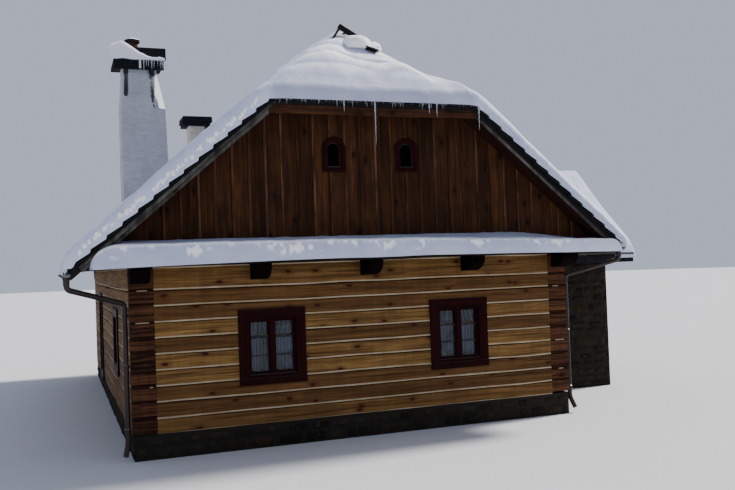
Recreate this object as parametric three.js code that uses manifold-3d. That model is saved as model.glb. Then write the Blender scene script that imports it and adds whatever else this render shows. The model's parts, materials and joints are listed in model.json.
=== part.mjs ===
// Snow-covered log chalet with a half-hipped gable roof, a pent roof over the front wall and a stone wing.
// Millimetres, +Z up, the front gable faces -Y. The house is drawn with X = 0 in the middle of its width,
// Y = 0 on the outer face of its front log wall and Z = 0 on the ground, and is centred at the end.

import * as THREE from "three";
import { mergeVertices } from "three/addons/utils/BufferGeometryUtils.js";
import Module from "manifold-3d";

const wasm = await Module();
wasm.setup();

// Clearance between pieces that touch and between snow and boards, overlap of forms joined into one piece,
// reach of a cut past what it cuts, reach of the roof's planes past the eaves where they cut other pieces,
// and a height above the whole house
const GAP = 0.3;
const GUARD = 10;
const MERGE = 1;
const PAST = 50;
const PLANE_REACH = 400;
const SKY = 12000;

// Log house
const HOUSE_WIDTH = 8000;
const HOUSE_LENGTH = 12000;
const PLINTH_HEIGHT = 400;
const PLINTH_THICKNESS = 420;
const PLINTH_SETBACK = 20;
const LOG_COURSE = 254;
const LOG_COURSES = 10;
const TOP_COURSE = 354;
const LOG_THICKNESS = 180;
const CHINK_HEIGHT = 30;
const CHINK_DEPTH = 18;
const FLOOR_THICKNESS = 60;

// Main roof
const ROOF_SLOPE = 0.845;
const RIDGE_HEIGHT = 7220;
const ROOF_THICKNESS = 230;
const EAVE_OVERHANG = { left: 860, right: 700 };
const VERGE_OVERHANG = 750;
const HIP_EAVE_HEIGHT = 5640;
const HIP_RUN = 1550;
const WALL_PLATE_WIDTH = 200;
const RIDGE_CAP_HALF_WIDTH = 230;
const RIDGE_CAP_THICKNESS = 80;
const RIDGE_CAP_OVERHANG = 260;

// Snow on the roofs: its depth, how far its lip hangs over, and the round of its edge and of its ridge
const SNOW_DEPTH = 310;
const SNOW_LIP = 50;
const SNOW_EDGE = {
  foot: 10, belly: 10, bellyDrop: 0.55, shoulder: 25, shoulderDrop: 0.25, back: 110, backDrop: 0.05,
};
const SNOW_RIDGE = { flat: 90, level: 150, foot: 300 };
const PENT_SNOW = { depth: 285, crown: 15, shoulder: 130, belly: 55, nose: 45, foot: 25, backDrop: 10 };
const PENT_SNOW_END = { overhang: 20, height: 70, run: 330, rise: 460 };

// Gables, verge boards and pent roofs
const GABLE_OVERHANG = 350;
const GABLE_THICKNESS = 120;
const GABLE_HALF_FOOT = 4500;
const VERGE_BOARD_THICKNESS = 40;
const VERGE_BOARD_DROP = 270;
const VERGE_BOARD_SETBACK = 60;
const HIP_BOARD_TAPER = 0.35;
const PENT_OVERHANG = 800;
const PENT_END = { left: 4580, right: 4680 };
const PENT_FASCIA = 40;
const PENT_RISE = 130;
const PENT_CLEARANCE = 40;

// Beam ends under the pent roof
const CONSOLE_SPACING = 1930;
const CONSOLE_WIDTH = 190;
const CORNER_CONSOLE_WIDTH = 300;
const CONSOLE_LENGTH = 340;
const CONSOLE_HEIGHT = 260;
const CONSOLE_CURVE = { nose: 0.55, bendReach: 0.72, bendHeight: 0.3, footReach: 0.7 };
const LEDGER_THICKNESS = 60;

// Windows and door
const WINDOW = { width: 1140, height: 1245, sill: 1042, trim: 110, lining: 60 };
const WINDOW_OFFSET = 1720;
const ATTIC_WINDOW = { width: 420, height: 596, sill: 4516, trim: 62, lining: 30 };
const ATTIC_WINDOW_OFFSET = 658;
const DOOR = { width: 1170, height: 2130, trim: 110, lining: 60 };
const DOOR_PLACE = 8600;
const DOOR_LEAF_THICKNESS = 50;
const SIDE_WINDOW_LEFT = 3200;
const SIDE_WINDOW_RIGHT = 8600;
const TRIM_THICKNESS = 32;
const LINING_RECESS = 5;
const GLASS_THICKNESS = 8;
const GLASS_DEPTH = 70;
const ATTIC_GLASS_DEPTH = 30;

// Chimneys
const CHIMNEY = { left: -3550, right: -2570, front: 6000, back: 6700, shoulder: 6700, top: 7540 };
const CHIMNEY_TAPER_LEFT = 50;
const CHIMNEY_TAPER_RIGHT = 170;
const CHIMNEY_CAP = { left: -3720, right: -2540, front: 5890, back: 6810, height: 250 };
const CHIMNEY_LID = {
  left: -3085, lift: 110, thickness: 140, post: 70, postInset: 20, front: 110, back: 20, right: 10,
};
const CHIMNEY_SNOW = { side: 15, front: 20, edge: 5, lip: 50, left: 330, crest: 420, brow: 400 };
const CHIMNEY_SNOW_CREST = -3600;
const CHIMNEY_SNOW_BROW = -3380;
const POT = { x: -3260, y: 6350, radius: 115, top: 8320, collar: 165, collarHeight: 85, sides: 16 };
const SMALL_CHIMNEY = { left: -1300, right: -840, front: 11000, back: 11450, top: 7170 };
const SMALL_CAP = { overhang: 190, height: 270 };

// Side wing of stone
const WING = { front: 2500, back: 5700, end: 6750, wall: 400 };
const WING_EAVE_HEIGHT = 3000;
const WING_EAVE_OVERHANG = 500;
const WING_VERGE_OVERHANG = 390;
const WING_ROOF_THICKNESS = 200;
const WING_ROOF_START = 2500;

// Gutters and rain pipes
const GUTTER_RADIUS = 65;
const GUTTER_WALL = 6;
const GUTTER_LIFT = 90;
const GUTTER_END_GAP = 30;
const PIPE_RADIUS = 42;
const PIPE_SIDES = 12;
const PIPE_OUTLET = { inset: 120, length: 160, drop: 430 };
const PIPE_WALL_GAP = 25;
const PIPE_FRONT_INSET = 60;
const PIPE_FOOT = 60;
const ELBOW_RADIUS = PIPE_RADIUS * 1.02;

// Values that follow from the driving dimensions
const HALF = HOUSE_WIDTH / 2;
const LENGTH = HOUSE_LENGTH;
const WALL_TOP = PLINTH_HEIGHT + LOG_COURSE * (LOG_COURSES - 1) + TOP_COURSE;
const FLOOR_TOP = PLINTH_HEIGHT + FLOOR_THICKNESS;
const ATTIC_TOP = WALL_TOP + FLOOR_THICKNESS;
const EAVE = { left: HALF + EAVE_OVERHANG.left, right: HALF + EAVE_OVERHANG.right };
const VERGE = -VERGE_OVERHANG;
const HIP_SLOPE = (RIDGE_HEIGHT - HIP_EAVE_HEIGHT) / HIP_RUN;
const HIP_CORNER = (RIDGE_HEIGHT - HIP_EAVE_HEIGHT) / ROOF_SLOPE;
const APEX = VERGE + HIP_RUN;
const WING_RIDGE_Y = (WING.front + WING.back) / 2;
const WING_EAVE_Y = WING.front - WING_EAVE_OVERHANG;
const WING_VERGE_X = WING.end + WING_VERGE_OVERHANG;

// Plain geometry helpers

function box(x0, x1, y0, y1, z0, z1) {
  const geometry = new THREE.BoxGeometry(x1 - x0, y1 - y0, z1 - z0);
  return geometry.translate((x0 + x1) / 2, (y0 + y1) / 2, (z0 + z1) / 2);
}

function outline(points) {
  return new THREE.Shape(points.map(([a, b]) => new THREE.Vector2(a, b)));
}

function toShape(form) {
  return form instanceof THREE.Shape ? form : outline(form);
}

function extrude(form, depth, curveSegments = 12) {
  return new THREE.ExtrudeGeometry(toShape(form), { depth, bevelEnabled: false, steps: 1, curveSegments });
}

// A form drawn in X and Z, carried along Y from y0 to y1
function alongY(form, y0, y1) {
  const basis = new THREE.Matrix4().makeBasis(
    new THREE.Vector3(1, 0, 0), new THREE.Vector3(0, 0, 1), new THREE.Vector3(0, -1, 0));
  return extrude(form, y1 - y0).applyMatrix4(basis).translate(0, y1, 0);
}

// A form drawn in Y and Z, carried along X from x0 to x1
function alongX(form, x0, x1) {
  const basis = new THREE.Matrix4().makeBasis(
    new THREE.Vector3(0, 1, 0), new THREE.Vector3(0, 0, 1), new THREE.Vector3(1, 0, 0));
  return extrude(form, x1 - x0).applyMatrix4(basis).translate(x0, 0, 0);
}

// A plate over a plan outline whose top lies on z = height + slopeX x + slopeY y, of even vertical thickness
function slopedPlate(plan, thickness, height, slopeX, slopeY) {
  const shear = new THREE.Matrix4().set(
    1, 0, 0, 0,
    0, 1, 0, 0,
    slopeX, slopeY, 1, height - thickness,
    0, 0, 0, 1);
  return extrude(plan, thickness).applyMatrix4(shear);
}

// Joining and cutting of closed solids

function solid(geometry) {
  const bare = geometry.clone();
  bare.deleteAttribute("normal");
  bare.deleteAttribute("uv");
  const merged = mergeVertices(bare, 1e-3);
  return new wasm.Manifold(new wasm.Mesh({
    numProp: 3,
    vertProperties: new Float32Array(merged.attributes.position.array),
    triVerts: new Uint32Array(merged.index.array),
  }));
}

function geometryOf(manifold) {
  const mesh = manifold.getMesh();
  const geometry = new THREE.BufferGeometry();
  geometry.setAttribute("position", new THREE.BufferAttribute(new Float32Array(mesh.vertProperties), 3));
  geometry.setIndex(new THREE.BufferAttribute(new Uint32Array(mesh.triVerts), 1));
  const flat = geometry.toNonIndexed();
  flat.computeVertexNormals();
  return flat;
}

function join(...geometries) {
  return geometryOf(geometries.map(solid).reduce((all, next) => all.add(next)));
}

function cut(geometry, ...tools) {
  return geometryOf(tools.map(solid).reduce((left, tool) => left.subtract(tool), solid(geometry)));
}

function overlap(geometry, ...others) {
  return geometryOf(others.map(solid).reduce((left, other) => left.intersect(other), solid(geometry)));
}

// A piece of the front, mirrored to the back of the house
function mirrorToBack(geometry) {
  return geometryOf(solid(geometry).mirror([0, 1, 0]).translate(0, LENGTH, 0));
}

// Heights of the roof's outer planes

function mainTop(x) {
  return RIDGE_HEIGHT - ROOF_SLOPE * Math.abs(x);
}

function hipTop(y) {
  return HIP_EAVE_HEIGHT + HIP_SLOPE * (y - VERGE);
}

function wingTop(y) {
  return WING_EAVE_HEIGHT + ROOF_SLOPE * (y - WING_EAVE_Y);
}

// Materials

function finish(color, roughness, metalness = 0) {
  return { color, roughness, metalness };
}

const LOG_WOOD = finish("#b98a4e", 0.8);
const DARK_WOOD = finish("#2e1d14", 0.85);
const GABLE_WOOD = finish("#3b2416", 0.85);
const WEATHERED_WOOD = finish("#6b665f", 0.9);
const ROOF_SHINGLE = finish("#1f1e1d", 0.9);
const TRIM_PAINT = finish("#4a1519", 0.6);
const WINDOW_GLASS = finish("#3f4a52", 0.1);
const PLASTER = finish("#b9b6b0", 0.9);
const BEIGE_PLASTER = finish("#9a8f7c", 0.9);
const STONE = finish("#5d5750", 0.95);
const BLACK_METAL = finish("#15171a", 0.5, 0.6);
const CLAY = finish("#6a3a28", 0.85);
const PIPE_METAL = finish("#2b2524", 0.45, 0.6);
const SNOW = finish("#eef2f8", 0.7);
const FLOOR_BOARDS = finish("#8a6a45", 0.85);

const house = new THREE.Group();

function add(name, geometry, look) {
  const mesh = new THREE.Mesh(geometry, new THREE.MeshStandardMaterial(look));
  mesh.name = name;
  house.add(mesh);
}

// Openings in the log walls, as plan rectangles grown by a clearance

function openingBox(wall, centre, opening, sill) {
  const half = opening.width / 2 - opening.trim;
  const low = sill + opening.trim;
  const high = sill + opening.height - opening.trim;
  const reach = LOG_THICKNESS + PAST;
  const across = {
    front: [centre - half, centre + half, -reach, reach],
    back: [centre - half, centre + half, LENGTH - reach, LENGTH + reach],
    left: [-HALF - reach, -HALF + reach, centre - half, centre + half],
    right: [HALF - reach, HALF + reach, centre - half, centre + half],
  }[wall];
  return box(...across, low, high);
}

const DOOR_SILL = FLOOR_TOP - DOOR.trim;
const WINDOWS = [
  { name: "front_window_left", wall: "front", centre: -WINDOW_OFFSET },
  { name: "front_window_right", wall: "front", centre: WINDOW_OFFSET },
  { name: "back_window_left", wall: "back", centre: -WINDOW_OFFSET },
  { name: "back_window_right", wall: "back", centre: WINDOW_OFFSET },
  { name: "left_window", wall: "left", centre: SIDE_WINDOW_LEFT },
  { name: "right_window", wall: "right", centre: SIDE_WINDOW_RIGHT },
];

function wallOpenings(wall) {
  const holes = WINDOWS.filter((item) => item.wall === wall)
    .map((item) => openingBox(wall, item.centre, WINDOW, WINDOW.sill));
  if (wall === "left") {
    holes.push(openingBox(wall, DOOR_PLACE, DOOR, DOOR_SILL));
  }
  return holes;
}

// Grooves for the chinking, one ring round the house at each joint between courses

function chinkGrooves() {
  const rings = [];
  for (let joint = 1; joint < LOG_COURSES; joint += 1) {
    const z = PLINTH_HEIGHT + joint * LOG_COURSE;
    const low = z - CHINK_HEIGHT / 2;
    const high = z + CHINK_HEIGHT / 2;
    const outer = box(-HALF - PAST, HALF + PAST, -PAST, LENGTH + PAST, low, high);
    const inner = box(-HALF + CHINK_DEPTH, HALF - CHINK_DEPTH, CHINK_DEPTH, LENGTH - CHINK_DEPTH,
      low - MERGE, high + MERGE);
    rings.push(cut(outer, inner));
  }
  return rings;
}

// Log walls: the front and back walls run the whole width, with the side walls between them

function addWalls() {
  const grooves = chinkGrooves();
  const low = PLINTH_HEIGHT + GAP;
  const T = LOG_THICKNESS;
  const inner = T + GAP;
  const forms = {
    front: box(-HALF, HALF, 0, T, low, WALL_TOP),
    back: box(-HALF, HALF, LENGTH - T, LENGTH, low, WALL_TOP),
    left: box(-HALF, -HALF + T, inner, LENGTH - inner, low, WALL_TOP),
    right: box(HALF - T, HALF, inner, LENGTH - inner, low, WALL_TOP),
  };
  for (const [wall, form] of Object.entries(forms)) {
    add(`${wall}_log_wall`, cut(form, ...grooves, ...wallOpenings(wall)), LOG_WOOD);
  }
}

function shaftSpace(shaft, grow) {
  return box(shaft.left - grow, shaft.right + grow, shaft.front - grow, shaft.back + grow, -PAST, SKY);
}

function chimneyShafts(grow) {
  return [shaftSpace(CHIMNEY, grow), shaftSpace(SMALL_CHIMNEY, grow)];
}

// Plinth and floors

function addBase() {
  const out = HALF - PLINTH_SETBACK;
  const inn = out - PLINTH_THICKNESS;
  const ring = cut(
    box(-out, out, PLINTH_SETBACK, LENGTH - PLINTH_SETBACK, 0, PLINTH_HEIGHT),
    box(-inn, inn, PLINTH_SETBACK + PLINTH_THICKNESS, LENGTH - PLINTH_SETBACK - PLINTH_THICKNESS,
      -PAST, PLINTH_HEIGHT + PAST));
  add("stone_plinth", ring, STONE);
  const room = HALF - LOG_THICKNESS - GAP;
  const inset = LOG_THICKNESS + GAP;
  const boards = box(-room, room, inset, LENGTH - inset, PLINTH_HEIGHT + GAP, FLOOR_TOP);
  add("ground_floor", cut(boards, ...chimneyShafts(GAP)), FLOOR_BOARDS);
}

// Attic floor with the wall plates along both eaves that carry the rafters' feet

function addAtticFloor() {
  const edge = GABLE_HALF_FOOT;
  const y0 = -GABLE_OVERHANG;
  const y1 = LENGTH + GABLE_OVERHANG;
  const slab = box(-edge, edge, y0, y1, WALL_TOP + GAP, ATTIC_TOP);
  const under = (x) => mainTop(x) - ROOF_THICKNESS - GAP;
  const inside = edge - WALL_PLATE_WIDTH;
  const plates = [-1, 1].map((side) => alongY([
    [side * edge, ATTIC_TOP - MERGE],
    [side * edge, under(edge)],
    [side * inside, under(inside)],
    [side * inside, ATTIC_TOP - MERGE],
  ], y0 + GABLE_THICKNESS + GAP, y1 - GABLE_THICKNESS - GAP));
  const wingSpace = box(HALF - MERGE, edge + PAST, WING.front - GAP, WING.back + GAP, WALL_TOP - PAST, SKY);
  add("attic_floor", cut(join(slab, ...plates), ...chimneyShafts(GAP), wingSpace), FLOOR_BOARDS);
}

// Beam ends that stand out of the wall's top course, cut back in a curve below

function consoleForm(reach, side) {
  const top = WALL_TOP;
  const base = WALL_TOP - CONSOLE_HEIGHT;
  const height = CONSOLE_HEIGHT;
  const out = side * reach;
  const c = CONSOLE_CURVE;
  const shape = new THREE.Shape();
  shape.moveTo(0, base);
  shape.lineTo(0, top);
  shape.lineTo(out, top);
  shape.lineTo(out, top - height * c.nose);
  shape.quadraticCurveTo(out * c.bendReach, base + height * c.bendHeight, out * c.footReach, base);
  shape.closePath();
  return shape;
}

function addConsoles() {
  const corner = HALF - CORNER_CONSOLE_WIDTH / 2;
  const places = [-corner, -CONSOLE_SPACING, 0, CONSOLE_SPACING, corner];
  const widths = [CORNER_CONSOLE_WIDTH, CONSOLE_WIDTH, CONSOLE_WIDTH, CONSOLE_WIDTH, CORNER_CONSOLE_WIDTH];
  places.forEach((x, index) => {
    const half = widths[index] / 2;
    const piece = alongX(consoleForm(CONSOLE_LENGTH, -1), x - half, x + half).translate(0, -GAP, 0);
    add(`front_console_${index + 1}`, piece, DARK_WOOD);
  });
  const ledger = box(
    -HALF, HALF, LENGTH + GAP, LENGTH + LEDGER_THICKNESS, WALL_TOP - CONSOLE_HEIGHT, WALL_TOP);
  const backs = places.map((x, index) => {
    const half = widths[index] / 2;
    return alongX(consoleForm(CONSOLE_LENGTH, 1), x - half, x + half).translate(0, LENGTH + GAP, 0);
  });
  add("back_consoles", join(ledger, ...backs), DARK_WOOD);
}

// Roof planes as plates of even vertical thickness

function mainPlate(name, grow = 0) {
  const side = name === "left" ? -1 : 1;
  const edge = EAVE[name] + grow;
  const inset = GAP / 2 - grow;
  const corner = HIP_CORNER + inset;
  const plan = [
    [side * edge, VERGE - grow],
    [side * corner, VERGE - grow],
    [side * inset, APEX + inset],
    [side * inset, LENGTH - APEX - inset],
    [side * corner, LENGTH - VERGE + grow],
    [side * edge, LENGTH - VERGE + grow],
  ];
  return slopedPlate(plan, ROOF_THICKNESS + 2 * grow, RIDGE_HEIGHT + grow, -side * ROOF_SLOPE, 0);
}

function hipPlate() {
  const corner = HIP_CORNER - GAP / 2;
  const plan = [[-corner, VERGE], [corner, VERGE], [0, APEX - GAP]];
  return slopedPlate(plan, ROOF_THICKNESS, hipTop(0), 0, HIP_SLOPE);
}

// Space above the outer planes of the main roof, from one plane height up to far above it
function aboveMainRoof(drop, y0, y1) {
  const reach = EAVE.left + PLANE_REACH;
  return alongY([
    [-reach, mainTop(reach) - drop],
    [0, RIDGE_HEIGHT - drop],
    [reach, mainTop(reach) - drop],
    [reach, SKY],
    [-reach, SKY],
  ], y0, y1);
}

function addRoof() {
  const shafts = chimneyShafts(GAP);
  add("roof_left", cut(mainPlate("left"), ...shafts), ROOF_SHINGLE);
  add("roof_right", mainPlate("right"), ROOF_SHINGLE);
  add("front_hip", hipPlate(), ROOF_SHINGLE);
  add("back_hip", mirrorToBack(hipPlate()), ROOF_SHINGLE);
  const cap = [
    [0, RIDGE_HEIGHT + GAP],
    [-RIDGE_CAP_HALF_WIDTH, mainTop(RIDGE_CAP_HALF_WIDTH) + GAP],
    [-RIDGE_CAP_HALF_WIDTH, mainTop(RIDGE_CAP_HALF_WIDTH) + RIDGE_CAP_THICKNESS],
    [0, RIDGE_HEIGHT + RIDGE_CAP_THICKNESS],
    [RIDGE_CAP_HALF_WIDTH, mainTop(RIDGE_CAP_HALF_WIDTH) + RIDGE_CAP_THICKNESS],
    [RIDGE_CAP_HALF_WIDTH, mainTop(RIDGE_CAP_HALF_WIDTH) + GAP],
  ];
  add("ridge_cap", alongY(cap, APEX - RIDGE_CAP_OVERHANG, LENGTH - APEX + RIDGE_CAP_OVERHANG), ROOF_SHINGLE);
}

// Gables: boarded frames that stand on the attic floor under the roof plates

function gableOutline() {
  const base = ATTIC_TOP + GAP;
  const foot = GABLE_HALF_FOOT;
  const under = (x) => mainTop(x) - ROOF_THICKNESS - GAP;
  const top = hipTop(-GABLE_OVERHANG) - ROOF_THICKNESS - GAP;
  const topX = (under(0) - top) / ROOF_SLOPE;
  return outline([
    [-foot, base], [foot, base], [foot, under(foot)], [topX, top], [-topX, top], [-foot, under(foot)],
  ]);
}

// An upright opening with a round head: width, foot height and crown height
function archedForm(x, width, low, high) {
  const radius = width / 2;
  const shape = new THREE.Shape();
  shape.moveTo(x - radius, low);
  shape.lineTo(x + radius, low);
  shape.lineTo(x + radius, high - radius);
  shape.absarc(x, high - radius, radius, 0, Math.PI, false);
  shape.closePath();
  return shape;
}

function addGables() {
  const front = alongY(gableOutline(), -GABLE_OVERHANG, -GABLE_OVERHANG + GABLE_THICKNESS);
  const back = alongY(gableOutline(), LENGTH + GABLE_OVERHANG - GABLE_THICKNESS, LENGTH + GABLE_OVERHANG);
  const a = ATTIC_WINDOW;
  const holes = [-1, 1].map((side) => alongY(
    archedForm(
      side * ATTIC_WINDOW_OFFSET, a.width - 2 * a.trim, a.sill + a.trim, a.sill + a.height - a.trim),
    -GABLE_OVERHANG - PAST, -GABLE_OVERHANG + GABLE_THICKNESS + PAST));
  add("front_gable", cut(front, ...holes), GABLE_WOOD);
  add("back_gable", back, GABLE_WOOD);
}

// Verge boards along both rakes, joined by the board under the hip's eave

function vergeForm(grow) {
  const drop = VERGE_BOARD_DROP;
  const left = EAVE.left - VERGE_BOARD_SETBACK + grow;
  const right = EAVE.right - VERGE_BOARD_SETBACK + grow;
  const innerCorner = HIP_CORNER - drop * HIP_BOARD_TAPER;
  return alongY([
    [-left, mainTop(left) + grow], [-left, mainTop(left) - drop],
    [-innerCorner, HIP_EAVE_HEIGHT - drop], [innerCorner, HIP_EAVE_HEIGHT - drop],
    [right, mainTop(right) - drop], [right, mainTop(right) + grow],
    [HIP_CORNER + grow, HIP_EAVE_HEIGHT + grow], [-HIP_CORNER - grow, HIP_EAVE_HEIGHT + grow],
  ], VERGE - VERGE_BOARD_THICKNESS - grow, VERGE - GAP + grow);
}

function vergeBoards() {
  const boards = vergeForm(0);
  const pentTop = pentHeight(VERGE - VERGE_BOARD_THICKNESS) + PENT_CLEARANCE;
  const below = box(
    -EAVE.left - PAST, EAVE.right + PAST, VERGE - 2 * PAST, VERGE + 2 * PAST, 0, pentTop);
  return cut(boards, below);
}

// Pent roof across the gable's foot

function pentHeight(y) {
  const eave = WALL_TOP + PENT_FASCIA;
  return eave + PENT_RISE * (y + PENT_OVERHANG) / (PENT_OVERHANG - GABLE_OVERHANG);
}

function pentRoof() {
  const wall = -GABLE_OVERHANG - GAP;
  const low = WALL_TOP + GAP;
  const wedge = alongX([
    [-PENT_OVERHANG, low], [wall, low], [wall, pentHeight(wall)],
    [-PENT_OVERHANG, pentHeight(-PENT_OVERHANG)],
  ], -PENT_END.left, PENT_END.right);
  return cut(wedge, aboveMainRoof(ROOF_THICKNESS + GAP, VERGE - GAP, 0));
}

// Snow on the pent roof: flat on the boards, with a full round front and ends that thin out to the tips
function pentSnow() {
  const wall = -GABLE_OVERHANG - GAP;
  const { depth, crown, shoulder, belly, nose, foot, backDrop } = PENT_SNOW;
  const eave = pentHeight(-PENT_OVERHANG) + GAP;
  const back = pentHeight(wall) + GAP;
  const front = -PENT_OVERHANG;
  const form = new THREE.Shape();
  form.moveTo(front, eave);
  form.lineTo(wall, back);
  form.lineTo(wall, back + depth - backDrop);
  form.lineTo(front + shoulder, eave + depth + crown);
  form.bezierCurveTo(
    front, eave + depth, front - belly, eave + depth * 0.65, front - nose, eave + depth * 0.3);
  form.lineTo(front - foot, eave);
  form.closePath();
  const { overhang, height, run, rise } = PENT_SNOW_END;
  const left = PENT_END.left + overhang;
  const right = PENT_END.right + overhang;
  const ends = alongY([
    [-left, eave - PAST], [right, eave - PAST], [right, eave + height], [right - run, eave + rise],
    [-left + run, eave + rise], [-left, eave + height],
  ], front - 2 * PAST, 0);
  const bank = overlap(alongX(form, -left, right), ends);
  return cut(bank, aboveMainRoof(VERGE_BOARD_DROP + 2 * GUARD, VERGE - VERGE_BOARD_THICKNESS - GUARD, 0));
}

function addPents() {
  add("front_pent_roof", pentRoof(), ROOF_SHINGLE);
  add("back_pent_roof", mirrorToBack(pentRoof()), ROOF_SHINGLE);
  add("front_verge_boards", vergeBoards(), WEATHERED_WOOD);
  add("back_verge_boards", mirrorToBack(vergeBoards()), WEATHERED_WOOD);
  add("front_pent_snow", pentSnow(), SNOW);
  add("back_pent_snow", mirrorToBack(pentSnow()), SNOW);
}

// Windows: a trim on the wall's face, a lining through the wall and one pane. Drawn for the front wall.

function ringForm(width, low, high) {
  return [[-width / 2, low], [width / 2, low], [width / 2, high], [-width / 2, high]];
}

function openingFrame(opening, sill) {
  const top = sill + opening.height;
  const trimInner = opening.width - 2 * opening.trim;
  const clear = trimInner - 2 * opening.lining;
  const edge = opening.trim + opening.lining;
  const trim = alongY(ringForm(opening.width, sill, top), -TRIM_THICKNESS, -GAP);
  const lining = alongY(
    ringForm(trimInner - 2 * GAP, sill + opening.trim + GAP, top - opening.trim - GAP),
    -TRIM_THICKNESS + LINING_RECESS, LOG_THICKNESS);
  const way = alongY(ringForm(clear, sill + edge, top - edge), -LOG_THICKNESS, 2 * LOG_THICKNESS);
  return cut(join(trim, lining), way);
}

function openingPane(opening, sill, thickness, depth) {
  const edge = opening.trim + opening.lining + GAP;
  const form = ringForm(opening.width - 2 * edge, sill + edge, sill + opening.height - edge);
  return alongY(form, depth, depth + thickness);
}

// Moves a piece drawn on the front wall at X = 0 to its place on any wall
function onWall(geometry, wall, centre) {
  const turn = { front: 0, right: Math.PI / 2, back: Math.PI, left: -Math.PI / 2 }[wall];
  const place = {
    front: [centre, 0],
    back: [centre, LENGTH],
    left: [-HALF, centre],
    right: [HALF, centre],
  }[wall];
  return geometry.rotateZ(turn).translate(place[0], place[1], 0);
}

function addWindows() {
  for (const { name, wall, centre } of WINDOWS) {
    add(`${name}_frame`, onWall(openingFrame(WINDOW, WINDOW.sill), wall, centre), TRIM_PAINT);
    const pane = openingPane(WINDOW, WINDOW.sill, GLASS_THICKNESS, GLASS_DEPTH);
    add(`${name}_glass`, onWall(pane, wall, centre), WINDOW_GLASS);
  }
  add("door_frame", onWall(openingFrame(DOOR, DOOR_SILL), "left", DOOR_PLACE), TRIM_PAINT);
  const leaf = openingPane(DOOR, DOOR_SILL, DOOR_LEAF_THICKNESS, GLASS_DEPTH);
  add("door", onWall(leaf, "left", DOOR_PLACE), DARK_WOOD);
}

// Small arched windows of the attic

function addAtticWindows() {
  const a = ATTIC_WINDOW;
  const face = -GABLE_OVERHANG;
  const hole = a.width - 2 * a.trim;
  const clear = hole - 2 * a.lining;
  for (const [name, side] of [["left", -1], ["right", 1]]) {
    const x = side * ATTIC_WINDOW_OFFSET;
    const top = a.sill + a.height;
    const trim = alongY(archedForm(x, a.width, a.sill, top), face - TRIM_THICKNESS, face - GAP);
    const lining = alongY(
      archedForm(x, hole - 2 * GAP, a.sill + a.trim + GAP, top - a.trim - GAP),
      face - TRIM_THICKNESS + LINING_RECESS, face + GABLE_THICKNESS);
    const way = alongY(
      archedForm(x, clear, a.sill + a.trim + a.lining, top - a.trim - a.lining),
      face - GABLE_THICKNESS, face + 2 * GABLE_THICKNESS);
    add(`attic_window_${name}_frame`, cut(join(trim, lining), way), TRIM_PAINT);
    const inset = a.trim + a.lining + GAP;
    const pane = alongY(
      archedForm(x, clear - 2 * GAP, a.sill + inset, top - inset),
      face + ATTIC_GLASS_DEPTH, face + ATTIC_GLASS_DEPTH + GLASS_THICKNESS);
    add(`attic_window_${name}_glass`, pane, WINDOW_GLASS);
  }
}

// Chimneys

const CHIMNEY_CAP_TOP = CHIMNEY.top + CHIMNEY_CAP.height;

function addLargeChimney() {
  const c = CHIMNEY;
  const shaft = alongY([
    [c.left, 0], [c.right, 0], [c.right, c.shoulder], [c.right - CHIMNEY_TAPER_RIGHT, c.top],
    [c.left + CHIMNEY_TAPER_LEFT, c.top], [c.left, c.shoulder],
  ], c.front, c.back);
  add("large_chimney", shaft, PLASTER);

  const k = CHIMNEY_CAP;
  const d = CHIMNEY_LID;
  const lidLow = CHIMNEY_CAP_TOP + d.lift;
  const lid = { left: d.left, right: k.right - d.right, front: k.front + d.front, back: k.back - d.back };
  const slab = box(k.left, k.right, k.front, k.back, c.top + GAP, CHIMNEY_CAP_TOP);
  const plate = box(lid.left, lid.right, lid.front, lid.back, lidLow, lidLow + d.thickness);
  const posts = [];
  for (const x of [lid.left + d.postInset, lid.right - d.postInset - d.post]) {
    for (const y of [lid.front + d.postInset, lid.back - d.postInset - d.post]) {
      posts.push(box(x, x + d.post, y, y + d.post, CHIMNEY_CAP_TOP - MERGE, lidLow + MERGE));
    }
  }
  add("large_chimney_cap", join(slab, plate, ...posts), BLACK_METAL);
}

function addPot() {
  const shoulder = POT.top - POT.collarHeight;
  const profile = [
    [0, CHIMNEY_CAP_TOP + GAP], [POT.radius, CHIMNEY_CAP_TOP + GAP], [POT.radius, shoulder],
    [POT.collar, shoulder], [POT.collar, POT.top], [0, POT.top],
  ].map(([radius, height]) => new THREE.Vector2(radius, height));
  const pot = new THREE.LatheGeometry(profile, POT.sides).rotateX(Math.PI / 2).translate(POT.x, POT.y, 0);
  add("chimney_pot", pot, CLAY);
}

// Snow on the cap: a high bank at the left that runs down to a lip in front of the lid
function addChimneySnow() {
  const k = CHIMNEY_CAP;
  const s = CHIMNEY_SNOW;
  const low = CHIMNEY_CAP_TOP + GAP;
  const y0 = k.front - s.front;
  const y1 = k.back + s.side;
  const far = k.left - PAST;
  const form = [
    [k.left - s.side, low], [k.right + s.side, low], [k.right + s.edge, low + s.lip],
    [CHIMNEY_SNOW_BROW, low + s.brow], [CHIMNEY_SNOW_CREST, low + s.crest], [k.left - s.edge, low + s.left],
  ];
  const left = box(far, CHIMNEY_LID.left - GAP, y0, y1, 0, SKY);
  const lip = box(far, 0, y0, k.front + CHIMNEY_LID.front - GAP, 0, SKY);
  const bank = overlap(alongY(form, y0, y1), join(left, lip));
  const potSpace = new THREE.CylinderGeometry(POT.collar + GAP, POT.collar + GAP, SKY, POT.sides)
    .rotateX(Math.PI / 2).translate(POT.x, POT.y, CHIMNEY_CAP_TOP);
  add("chimney_snow", cut(bank, potSpace), SNOW);
}

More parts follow.
